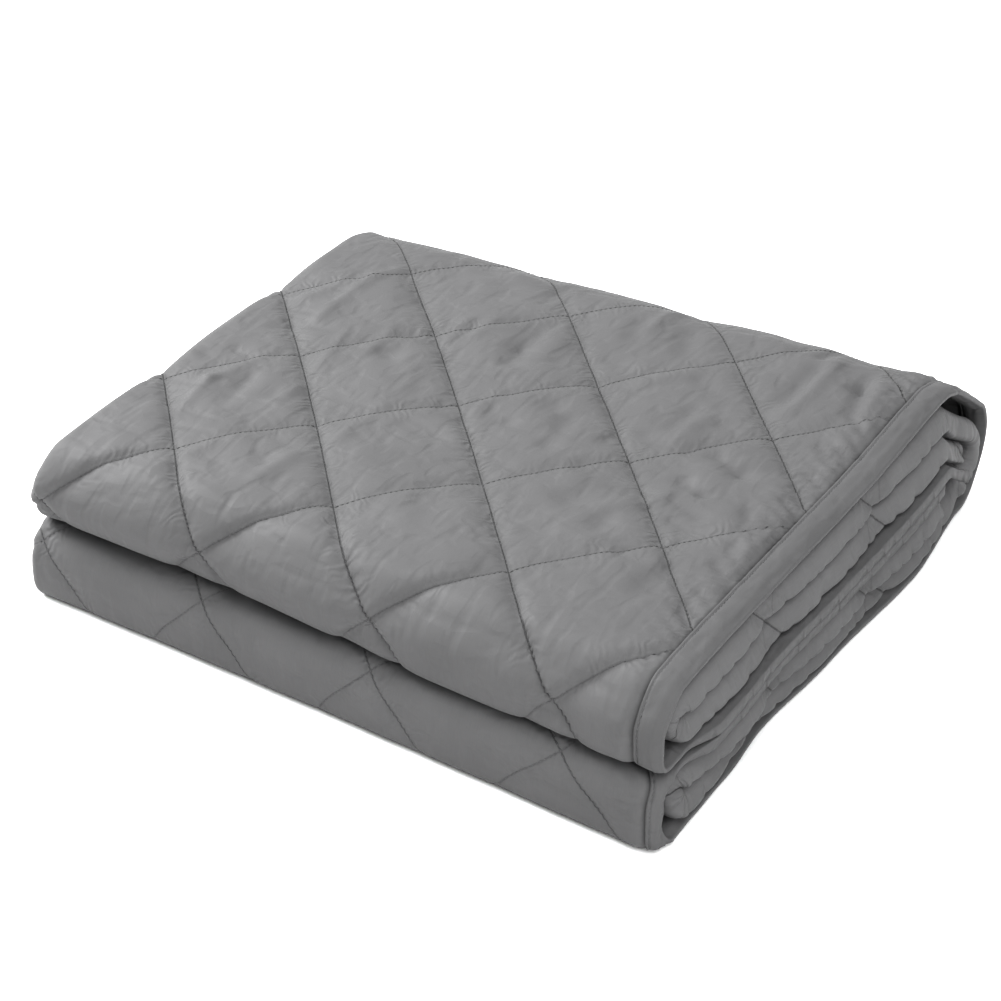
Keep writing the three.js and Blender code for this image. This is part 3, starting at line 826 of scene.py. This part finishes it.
def turn_in(at, x, depth, on_cover):
    """On the lower roll's front fold the bound edge is turned in: past a line near the edge the
    ply goes round a small arc and then straight in."""
    angle = np.clip((at - arc_start[BASE]) / fold_radius[BASE], 0, math.pi)
    share = on_cover * smooth((np.sin(angle) - TURN_IN_BEGINS) / TURN_IN_EASE)
    x = x + share * TURN_IN_SHIFT * smooth((x - TURN_IN_SHIFT_FROM) / TURN_IN_SHIFT_RUN)
    line = HALF - TURN_IN_FROM
    past = np.maximum(0, x - line)
    bend = np.minimum(past / TURN_IN_RADIUS, math.pi / 2)
    straight = past - bend * TURN_IN_RADIUS
    round_radius = TURN_IN_RADIUS - depth
    in_x = line + round_radius * np.sin(bend)
    in_depth = TURN_IN_RADIUS - round_radius * np.cos(bend) + straight
    turned = share * (past > 0)
    return x + turned * (in_x - x), depth + turned * (in_depth - depth)


print("the edge turns in", round(TURN_IN_FROM / MM, 1), "mm from its end")

# %% The raised face
BACK_CALM = 0.6
BACK_CALM_AHEAD = 70 * MM
BACK_CALM_RUN = 60 * MM
FRONT_CALM = 0.5


def raised_face(length, at, x, across, inner, quilted, beside):
    """How far the face stands out: the relief, lower beside the binding and towards the back,
    and where the cover shows also its creases, half as high on the front folds. The lip's share
    is the squared sine of twice its angle."""
    shows = quilting_at(at)
    front = front_at(at)
    to_back = smooth((at - arc_start[TOP] + BACK_CALM_AHEAD) / BACK_CALM_RUN)
    calm = 1 - BACK_CALM * to_back * (1 - inner)
    on_lip = np.clip((at - arc_start[UNDER]) / fold_radius[UNDER], 0, math.pi / 2)
    lip = np.sin(2 * on_lip) ** 2 * (1 - inner)
    share = quilted * np.where(inner > 0.5, 1.0, shows) * beside * calm
    raised = share * relief(across, length, front * (1 - inner), lip)
    uneven = np.where((inner == 0) & (quilted == 1), 1.0, 0.0) * shows
    if np.any(uneven):
        v = length - seam_start
        uneven = uneven * (1 - FRONT_CALM * front)
        raised = raised + uneven * (CREASE_SCALE * creases(x, v) + rumple(x, v))
    return raised


print("the relief is", round(1 - BACK_CALM, 2), "as high at the back as on the top")

# %% Carrying the section
def carry(length, x, depth, across, inner, out_x, out_n, quilted):
    """Points of the cloth: the place on the path, less the depth along its normal, with the
    quilted relief along the column's own direction, then the fall of the pile to both ends and
    its taper to the left."""
    length = np.asarray(length, float)
    at = slide(x, length)
    y0, z0, out_y, out_z = place_at(at)
    on_cover = (inner == 0) & (x > 0)
    edge_upper, edge_lower = between_rolls(at, EDGE_RAMP)
    inner_upper, inner_lower = between_rolls(at, REACH_RAMP)
    bound = on_cover * smooth((x - cover_end) / BINDING_CLEARANCE) * (edge_upper + edge_lower)
    beside = smooth((HALF - BINDING_WIDTH - x) / BESIDE_BINDING)
    beside = np.where(on_cover, beside, 1.0)
    x, depth = turn_in(at, x, blunt_edge(bound, depth), on_cover)
    raised = raised_face(length, at, x, across, inner, quilted, beside)
    sink = (1 - beside) * BESIDE_SINK * quilted
    lift = (1 - inner) * squareness(at, x) - depth - sink + raised * out_n
    droop = -INNER_FOLD_DROOP * inner * out_x * out_n * out_z
    reach = inner * (UPPER_REACH * inner_upper + LOWER_REACH * inner_lower)
    reach = reach + (1 - inner) * (UPPER_EDGE_REACH * edge_upper + LOWER_EDGE_REACH * edge_lower)
    edge = smooth(x / HALF) * reach
    out = raised * out_x + droop + edge + rim(length, inner, out_x, out_n, out_z)
    y = y0 + out_y * lift + inner * drawn_back(at)
    z = z0 + out_z * lift
    return np.stack(settled(x + out, y - stand_off(at, inner, x, y, z), z), -1)


def on_cover_ply(length, x, depth, quilted):
    """Points of the cover ply alone, at a depth below its face."""
    return carry(length, x, depth, x, 0.0, 0.0, 1.0, quilted)


grid = carry(row_length[:, None], *section[:, None, :])
print("grid", grid.shape)

# %% [markdown]
# ## From arrays to a mesh
#
# The rings become quads. Where fine rows meet hidden ones, each wide cell of the face borders
# twelve fine ones, and one face with more corners joins them. The two ends are closed by one face
# each, so that the cloth is a closed solid with a thickness.

# %% Mesh building
def ring_faces(first, second):
    """Quads between two rings of the same columns: each corner, its neighbour, and the two
    across from them."""
    return np.stack([first, np.roll(first, -1, -1), np.roll(second, -1, -1), second], -1)


def add_mesh(name, points, faces):
    """A mesh of points and faces, shaded smooth, as an object of the scene."""
    mesh = bpy.data.meshes.new(name)
    mesh.from_pydata(points, [], faces)
    mesh.polygons.foreach_set("use_smooth", np.ones(len(mesh.polygons), bool))
    piece = bpy.data.objects.new(name, mesh)
    bpy.context.scene.collection.objects.link(piece)
    return piece


def put_cloth_map(mesh, across, along):
    """A UV map in metres of flat cloth: across and along it, for the seams and the weave."""
    corner = np.zeros(len(mesh.loops), int)
    mesh.loops.foreach_get("vertex_index", corner)
    places = np.stack([across[corner], along[corner]], -1)
    mesh.uv_layers.new(name="cloth").data.foreach_set("uv", places.astype(np.float32).ravel())


def swept_mesh(name, points, across, fine_rows, face_count, coarse):
    """A closed mesh from rows of points. Fine rows keep every column; other rows keep every
    coarse-th column of the face and all the others."""
    rows, cols = points.shape[:2]
    number = np.arange(rows * cols).reshape(rows, cols)
    face_kept = np.unique(np.append(np.arange(0, face_count, coarse), face_count - 1))
    kept = np.concatenate([face_kept, np.arange(face_count, cols)])
    rest = np.append(np.arange(face_count - 1, cols), 0)
    faces = []
    for row in range(rows - 1):
        low, high = number[row], number[row + 1]
        if fine_rows[row] and fine_rows[row + 1]:
            faces.extend(ring_faces(low, high).tolist())
        elif not fine_rows[row] and not fine_rows[row + 1]:
            faces.extend(ring_faces(low[kept], high[kept]).tolist())
        else:
            faces.extend(ring_faces(low[rest], high[rest])[:-1].tolist())
            for start, end in zip(face_kept[:-1], face_kept[1:]):
                run = np.arange(start, end + 1)
                if fine_rows[row]:
                    faces.append([*low[run], high[end], high[start]])
                else:
                    faces.append([low[start], low[end], *high[run[::-1]]])
    faces.append(number[0, kept][::-1].tolist())
    faces.append(number[-1, kept].tolist())
    used = np.unique(np.concatenate(faces))
    renumber = np.full(rows * cols, -1)
    renumber[used] = np.arange(len(used))
    faces = [renumber[face].tolist() for face in faces]
    piece = add_mesh(name, points.reshape(-1, 3)[used], faces)
    flat = np.broadcast_arrays(across, row_length[:, None], number)[:2]
    put_cloth_map(piece.data, *[place.ravel()[used] for place in flat])
    return piece


quilt = swept_mesh("quilt_cloth", grid, section_across, fine, face_columns, HIDDEN_COLUMNS)
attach(quilt, "root")
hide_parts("quilt")
print("quilt_cloth", len(quilt.data.polygons), "faces")

# %% [markdown]
# ## The binding
#
# The binding is a strip of the same cloth, folded over the raw edge and held by a row of stitches
# near its inner side. Its section is drawn as a height over the edge of the ply: a low foot, a
# groove under the stitches, and a soft round turn over the edge.

# %% Binding strip
BINDING_INSIDE = 0.35
INSIDE_KEPT = slice(0, 17, 2)
BINDING_UNEVEN = 0.3 * MM
BINDING_UNEVEN_CELL = 9 * MM

# How high the binding's face stands over the ply, by the distance inside the edge
BINDING_FACE = np.array(
    [
        # inset, stand
        (20.3, 0.4), (20, 1.0), (19.3, 1.35), (18.6, 1.35), (18, 1.05),
        (17.5, 0.7), (17, 1.05), (16.4, 1.4), (15.5, 1.5), (14, 1.5),
        (12.5, 1.5), (11, 1.5), (9.5, 1.5), (8, 1.45), (6.5, 1.4),
        (5, 1.3), (3.5, 1.2), (2.2, 1.05), (1.2, 0.9), (0.4, 0.8),
    ]
)
binding_inset, binding_stand = BINDING_FACE.T
ply_half = np.interp(binding_inset, *BOUND_PLY[::-1].T)
face_depth = BOUND_DEPTH - (ply_half + binding_stand) * MM
inside_depth = BOUND_DEPTH - (ply_half + BINDING_INSIDE) * MM


def folded(inset, depth, tip):
    """Places and depths of a strip folded over the edge: its near side in from the edge, the
    tip, and the same side mirrored at the middle of the ply."""
    at = HALF - inset * MM
    far = 2 * BOUND_DEPTH - depth
    return np.array([[*at, tip, *at[::-1]], [*depth, BOUND_DEPTH, *far[::-1]]])


outer = folded(binding_inset, face_depth, HALF)
inner = folded(binding_inset[INSIDE_KEPT], inside_depth[INSIDE_KEPT], HALF - BOUND_TIP + FIT)
binding_x, binding_depth = np.concatenate([outer, inner[:, ::-1]], 1)
uneven = soft_noise(row_length[:, None], binding_x * 2, BINDING_UNEVEN_CELL, SEED_BINDING)
band_depth = binding_depth - BINDING_UNEVEN * uneven
band = on_cover_ply(row_length[:, None], binding_x[None, :], band_depth, 0.0)
binding = swept_mesh("binding_strip", band, binding_x, np.ones(len(row_length), bool), 2, 1)
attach(binding, "root")
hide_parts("binding")
print("binding_strip", len(binding.data.polygons), "faces")

# %% [markdown]
# ## Stitches
#
# Each stitch is a short piece of thread that dips into the cloth at both ends. Its middle line
# is laid on the same folds with carry(), and a small ring of corners is set round each of its
# stations. All stitches of the seams are joined in one piece, and those of the binding in
# another.

# %% Places of the stitches
STITCH = 3.8 * MM
SEAMS_EACH_WAY = 12
SEAM_REACH = 2.6
SEWN_SHARE = 0.3
BINDING_ROW = 17.5 * MM
ROW_MARGIN = 20 * MM


def seam_stitches():
    """Places and directions, in cloth coordinates, of every stitch on the face that shows. Along
    a seam of either family, x and v change by a diamond's width and length."""
    places, directions = [], []
    diagonal = math.hypot(DIAMOND_X, DIAMOND_V)
    steps = np.arange(-SEAM_REACH * diagonal, SEAM_REACH * diagonal, STITCH)
    for lean in (1, -1):
        run = np.array([DIAMOND_X, -lean * DIAMOND_V]) / diagonal
        at_x = SEAM_CROSSING_X + steps * run[0]
        for seam in range(-SEAMS_EACH_WAY, SEAMS_EACH_WAY + 1):
            at_length = seam_start + seam * DIAMOND_V + steps * run[1]
            path_at = slide(at_x, at_length)
            shows = (at_x > left_centre) & (at_x < cover_end)
            shows &= (quilting_at(path_at) > SEWN_SHARE) & (path_at < fold_end[BASE])
            places.append(np.stack([at_x, at_length], -1)[shows])
            directions.append(np.broadcast_to(run, places[-1].shape))
    return np.concatenate(places), np.concatenate(directions)


def row_stitches(inset):
    """Places and directions of a row of stitches on the binding."""
    lengths = np.arange(fold_start[UNDER] + ROW_MARGIN, fold_end[BASE] + ROW_MARGIN, STITCH)
    places = np.stack([np.full_like(lengths, HALF - inset), lengths], -1)
    return places, np.broadcast_to((0.0, 1.0), places.shape)


stitches = seam_stitches()
print("stitches on the seams", len(stitches[0]))

# %% Thread
THREAD = 0.3 * MM
THREAD_SIDES = 5
STITCH_SHARE = 0.74
UNDER_THREAD = 1 * MM

# The thread along one stitch
THREAD_STATIONS = np.array(
    [
        # place, lift, girth
        (-0.5, -0.5, 0.45),
        (-0.32, 0.12, 0.9),
        (0.0, 0.3, 1.0),
        (0.32, 0.12, 0.9),
        (0.5, -0.5, 0.45),
    ]
)


def unit(vectors):
    """The vectors, each divided by its length."""
    return vectors / np.linalg.norm(vectors, axis=-1, keepdims=True)


def thread_mesh(name, places, directions, base_depth, quilted):
    """A ring of corners round each station of each stitch, joined by quads. The ring lies across
    the stitch: the cosine of an angle to its side and the sine upwards."""
    place, lift, girth = THREAD_STATIONS.T
    along = place[None, :, None] * STITCH * STITCH_SHARE
    station = places[:, None, :] + directions[:, None, :] * along
    x, length = station[..., 0], station[..., 1]
    centre = on_cover_ply(length, x, base_depth - lift * MM, quilted)
    up = unit(centre - on_cover_ply(length, x, base_depth + UNDER_THREAD, quilted))
    side = unit(np.cross(centre[:, -1:] - centre[:, :1], up))
    angle = np.arange(THREAD_SIDES) * 2 * math.pi / THREAD_SIDES
    ring = np.cos(angle)[:, None] * side[:, :, None] + np.sin(angle)[:, None] * up[:, :, None]
    points = centre[:, :, None] + (THREAD * girth)[None, :, None, None] * ring
    number = np.arange(points[..., 0].size).reshape(points.shape[:3])
    quads = ring_faces(number[:, :-1], number[:, 1:]).reshape(-1, 4).tolist()
    caps = number[:, 0, ::-1].tolist() + number[:, -1].tolist()
    return add_mesh(name, points.reshape(-1, 3), quads + caps)


seam_thread = thread_mesh("seam_thread", *stitches, 0.0, 1.0)
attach(seam_thread, "root")
row_depth = float(np.interp(BINDING_ROW, binding_inset[::-1] * MM, face_depth[::-1]))
row_thread = thread_mesh("binding_thread", *row_stitches(BINDING_ROW), row_depth, 0.0)
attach(row_thread, "root")
print("thread", len(seam_thread.data.polygons) + len(row_thread.data.polygons), "faces")

# %% [markdown]
# ## Shader maths in Python
#
# A small class wraps a socket, so that an expression such as `1 - mask * 0.4` adds the Math
# nodes by itself. Every other node comes from one method.

# %% Shader helper
class Wire:
    """A shader socket that takes part in Python expressions."""

    def __init__(self, tree, socket):
        self.tree, self.socket = tree, socket

    def math(self, operation, *others):
        """A Math node of this value and the others."""
        node = self.tree.nodes.new("ShaderNodeMath")
        node.operation = operation
        for slot, value in enumerate((self, *others)):
            connect(self.tree, value, node.inputs[slot])
        return Wire(self.tree, node.outputs[0])

    def __add__(self, other):
        return self.math("ADD", other)

    __radd__ = __add__

    def __sub__(self, other):
        return self.math("SUBTRACT", other)

    def __rsub__(self, other):
        return self * -1 + other

    def __mul__(self, other):
        return self.math("MULTIPLY", other)

    __rmul__ = __mul__

    def __truediv__(self, other):
        return self.math("DIVIDE", other)

    def __pow__(self, other):
        return self.math("POWER", other)

    def __abs__(self):
        return self.math("ABSOLUTE")


def connect(tree, value, socket):
    """Links a wire to a socket, or sets the socket to a plain value."""
    if isinstance(value, Wire):
        tree.links.new(value.socket, socket)
    else:
        socket.default_value = value


class Finish:
    """A material with a Principled shader, and one method that adds any node."""

    def __init__(self, name):
        self.material = bpy.data.materials.new(name)
        self.material.use_nodes = True
        self.tree = self.material.node_tree
        self.shader = self.tree.nodes["Principled BSDF"]

    def node(self, kind, settings=None, output=0, numbered=None, **named):
        """A node of that kind: its settings first, then its sockets by number and by name."""
        made = self.tree.nodes.new(kind)
        for key, value in (settings or {}).items():
            setattr(made, key, value)
        for key, value in (numbered or {}).items():
            connect(self.tree, value, made.inputs[key])
        for key, value in named.items():
            connect(self.tree, value, made.inputs[key.replace("_", " ")])
        return Wire(self.tree, made.outputs[output])

    def set(self, **named):
        """Sets or links the shader's own sockets."""
        for key, value in named.items():
            connect(self.tree, value, self.shader.inputs[key.replace("_", " ")])


# %% [markdown]
# ## The quilted satin
#
# The face is a fine grey satin: the warp shows as very thin streaks along the cloth, over soft
# blotches of tone. Wrinkles too small for the mesh are bump: two noises, one stretched along the
# cloth and one across it, with faint ridges where each changes sign. The shader reads the cloth
# map, so all of it follows every fold.

# %% The plain satin
BLOTCH_SCALE = 14.0
BLOTCH_TONE = 0.2
BLOTCH_BEND = 2
STREAK_TONE = 0.12
STREAK_HEIGHT = 0.01
WRINKLE_HEIGHT = 0.4
WRINKLE_DETAIL = 1.2
RIDGE_HEIGHT = 0.35

# Cells to a metre, across the cloth and along it
STREAKS = (2600, 90)
WARP_WRINKLES = (34, 75)
WEFT_WRINKLES = (80, 32)


def cell_noise(finish, x, y, detail):
    """Noise of a point that has been stretched already."""
    point = finish.node("ShaderNodeCombineXYZ", X=x, Y=y)
    return finish.node("ShaderNodeTexNoise", Vector=point, Scale=1.0, Detail=detail)


def satin(finish, across, along, blotch):
    """The tone, which is 1 with a share of streaks and blotches, and the height of the bump: the
    streaks and wrinkles, less the ridges."""
    streak = cell_noise(finish, across * STREAKS[0], along * STREAKS[1], 2.0)
    tone = 1 + (streak - 0.5) * STREAK_TONE + (blotch - 0.5) * BLOTCH_TONE
    bend = blotch * BLOTCH_BEND
    warp_x, warp_y = across * WARP_WRINKLES[0] + bend, along * WARP_WRINKLES[1]
    weft_x, weft_y = across * WEFT_WRINKLES[0], along * WEFT_WRINKLES[1] + bend
    wrinkle = cell_noise(finish, warp_x, warp_y, WRINKLE_DETAIL)
    crossing = cell_noise(finish, weft_x, weft_y, WRINKLE_DETAIL)
    ridges = abs(wrinkle - 0.5) + abs(crossing - 0.5)
    height = streak * STREAK_HEIGHT + (wrinkle + crossing) * WRINKLE_HEIGHT
    return tone, height - ridges * RIDGE_HEIGHT


print("streaks", round(1 / STREAKS[0] / MM, 2), "mm wide")

# %% [markdown]
# Beside the seams the satin is drawn into fine puckers, which swirl a little. A painted shade
# darkens each seam's line, most at the needle holes, and another runs along the binding's inner
# edge. seam_counts() serves here too: what it did with arrays it does with wires.

# %% The seams in the satin
FINE_PITCH = 8 * MM
FINE_REACH = 11 * MM
FINE_START = 2 * MM
FINE_HEIGHT = 0.1
FINE_CONTRAST = 2.4
FINE_LOSS = 0.7
FINE_LEAST = 0.1
SWIRL_SCALE = 55.0
SWIRL = 4
SECOND_WEIGHT = 0.6
# The seam line is painted shade in the groove: darkest at the needle holes, lighter in the middle
# of a stitch
LINE_HALF = 0.9 * MM
STITCH_HALF = 0.4
STITCH_LIGHT = 0.3
SEAM_LINE_SHADE = 0.45
LINE_SUNK = 0.2
# A painted shade along the inner edge of the binding, where the valley beside it lies in shade:
# its width, place and strength
EDGE_SHADE = 1.8 * MM
EDGE_SHADE_AT = HALF - BINDING_WIDTH - 1 * MM
EDGE_SHADE_STRENGTH = 0.3


def sewn(finish, place, across, along, blotch, tone, height):
    """The tone and the height with the seams in them. A pucker is a sine wave that crosses a
    seam and fades with the squared distance. A line is a painted shade, dark in proportion to
    its nearness and less so in the middle of a stitch, and a painted shade runs along the
    binding's inner edge."""
    swirl = finish.node("ShaderNodeTexNoise", Vector=place, Scale=SWIRL_SCALE, Detail=1.0)
    amount = (blotch * FINE_CONTRAST - FINE_LOSS).math("MAXIMUM", FINE_LEAST)
    counts = seam_counts(across, along)
    dark = []
    for first, second, weight in ((*counts, 1.0), (*counts[::-1], SECOND_WEIGHT)):
        off = abs(first - first.math("ROUND")) * SEAM_SPACING
        phase = second * (SEAM_SPACING / FINE_PITCH) + swirl * SWIRL
        wave = (phase * (2 * math.pi)).math("SINE")
        fade = ((off / FINE_REACH) ** 2 * -1).math("EXPONENT")
        fade = fade * (off / FINE_START).math("MINIMUM", 1.0)
        height = height + wave * fade * amount * (FINE_HEIGHT * weight)
        # Painted shade on the seam line, less in the middle of a stitch
        beat = (second * (SEAM_SPACING / STITCH)).math("FRACT")
        stitch = (1 - abs(beat - 0.5) / STITCH_HALF).math("MAXIMUM", 0.0)
        line = (1 - off / LINE_HALF).math("MAXIMUM", 0.0)
        dark.append(line * (1 - stitch * STITCH_LIGHT) * weight**2)
    dark = dark[0].math("MAXIMUM", dark[1])
    # Painted shade along the binding's inner edge
    edge = ((across - EDGE_SHADE_AT) / EDGE_SHADE) ** 2
    tone = tone * (1 - dark * SEAM_LINE_SHADE) * (1 - (edge * -1).math("EXPONENT") * EDGE_SHADE_STRENGTH)
    return tone, height - dark * LINE_SUNK


print("fine puckers", round(FINE_PITCH / MM, 1), "mm apart")

# %% Cloth and thread
GREY = 0.145
BINDING_GREY = 0.9 * GREY
THREAD_COLOUR = (0.135, 0.135, 0.137, 1)
BLACK, WHITE = (0, 0, 0, 1), (0.99, 0.99, 1.0, 1)
BUMP_DEPTH = 5.5 * MM


def cloth_finish(name, grey, seams):
    """A grey satin, with the puckers and the painted shade of the seams and of the binding's edge
    where seams is true. Its colour is a share of white: the tone, painted shade included, times
    the grey."""
    finish = Finish(name)
    place = finish.node("ShaderNodeUVMap", {"uv_map": "cloth"})
    across = finish.node("ShaderNodeSeparateXYZ", Vector=place)
    along = finish.node("ShaderNodeSeparateXYZ", output=1, Vector=place)
    blotch = finish.node("ShaderNodeTexNoise", Vector=place, Scale=BLOTCH_SCALE, Detail=3.0)
    tone, height = satin(finish, across, along, blotch)
    if seams:
        tone, height = sewn(finish, place, across, along, blotch, tone, height)
    share = {"Factor": tone * grey, 6: BLACK, 7: WHITE}
    colour = finish.node("ShaderNodeMix", {"data_type": "RGBA"}, 2, share)
    bump = finish.node("ShaderNodeBump", Strength=0.7, Distance=BUMP_DEPTH, Height=height)
    finish.set(
        Base_Color=colour,
        Roughness=0.62,
        Normal=bump,
        Specular_IOR_Level=0.2,
        Sheen_Weight=0.04,
        Sheen_Roughness=0.5,
    )
    return finish.material


quilt.data.materials.append(cloth_finish("quilted_satin", GREY, True))
binding.data.materials.append(cloth_finish("binding_satin", BINDING_GREY, False))
thread_finish = Finish("thread")
thread_finish.set(Base_Color=THREAD_COLOUR, Roughness=0.6)
seam_thread.data.materials.append(thread_finish.material)
row_thread.data.materials.append(thread_finish.material)
print("materials", len(bpy.data.materials))

# %% [markdown]
# ## The stage
#
# A plain pale floor, and three soft lights: the key from the left draws the diamonds, a weaker
# one at the right lights the bound end, and one high above the front softens both. The exposure
# brings the floor up to white, and the gamma brings the cloth back to its grey.

# %% Floor and lights
FLOOR_SIZE = 6.0
FLOOR_COLOUR = (0.94, 0.94, 0.94, 1)
WORLD_STRENGTH = 0.57
EXPOSURE = 0.55
GAMMA = 0.68

# Name, place, size and power of each light
LIGHTS = (
    ("key", (-3.2, 0.1, 2.4), 1.8, 185),
    ("side", (3.4, -1.2, 2.0), 1.6, 55),
    ("top", (1.5, -1.6, 4.0), 2.4, 80),
)

floor_corners = FLOOR_SIZE / 2 * np.array([(-1, -1, 0), (1, -1, 0), (1, 1, 0), (-1, 1, 0)])
floor = add_mesh("floor", floor_corners, [(0, 1, 2, 3)])
floor_finish = Finish("pale_floor")
floor_finish.set(Base_Color=FLOOR_COLOUR, Roughness=0.8)
floor.data.materials.append(floor_finish.material)

world = bpy.data.worlds.new("studio")
world.use_nodes = True
background = world.node_tree.nodes["Background"]
background.inputs["Color"].default_value = (1, 1, 1, 1)
background.inputs["Strength"].default_value = WORLD_STRENGTH
scene = bpy.context.scene
scene.world = world
scene.view_settings.view_transform = "Standard"
scene.view_settings.gamma = GAMMA
scene.view_settings.exposure = EXPOSURE

for name, place, size, power in LIGHTS:
    lamp = bpy.data.lights.new(name, "AREA")
    lamp.shape = "SQUARE"
    lamp.size = size
    lamp.energy = power
    holder = bpy.data.objects.new(name, lamp)
    holder.location = place
    towards = Vector(np.subtract((0, 0, HEIGHT / 2), place))
    holder.rotation_mode = "QUATERNION"
    holder.rotation_quaternion = towards.to_track_quat("-Z", "Y")
    scene.collection.objects.link(holder)
print(len(LIGHTS), "lights")

# %% Camera
CAMERA_PLACE = (0.786, -1.242, 1.024)
CAMERA_AZIMUTH = 33.05 * DEGREE
CAMERA_ELEVATION = 34.02 * DEGREE
LENS = 85.77
SENSOR = 36

camera_data = bpy.data.cameras.new("camera")
camera_data.lens = LENS
camera_data.sensor_width = SENSOR
camera = bpy.data.objects.new("camera", camera_data)
camera.location = CAMERA_PLACE
back = Vector(
    (
        math.sin(CAMERA_AZIMUTH) * math.cos(CAMERA_ELEVATION),
        -math.cos(CAMERA_AZIMUTH) * math.cos(CAMERA_ELEVATION),
        math.sin(CAMERA_ELEVATION),
    )
)
camera.rotation_mode = "QUATERNION"
camera.rotation_quaternion = (-back).to_track_quat("-Z", "Y")
scene.collection.objects.link(camera)
scene.camera = camera
print("camera", [round(value, 2) for value in camera.location])
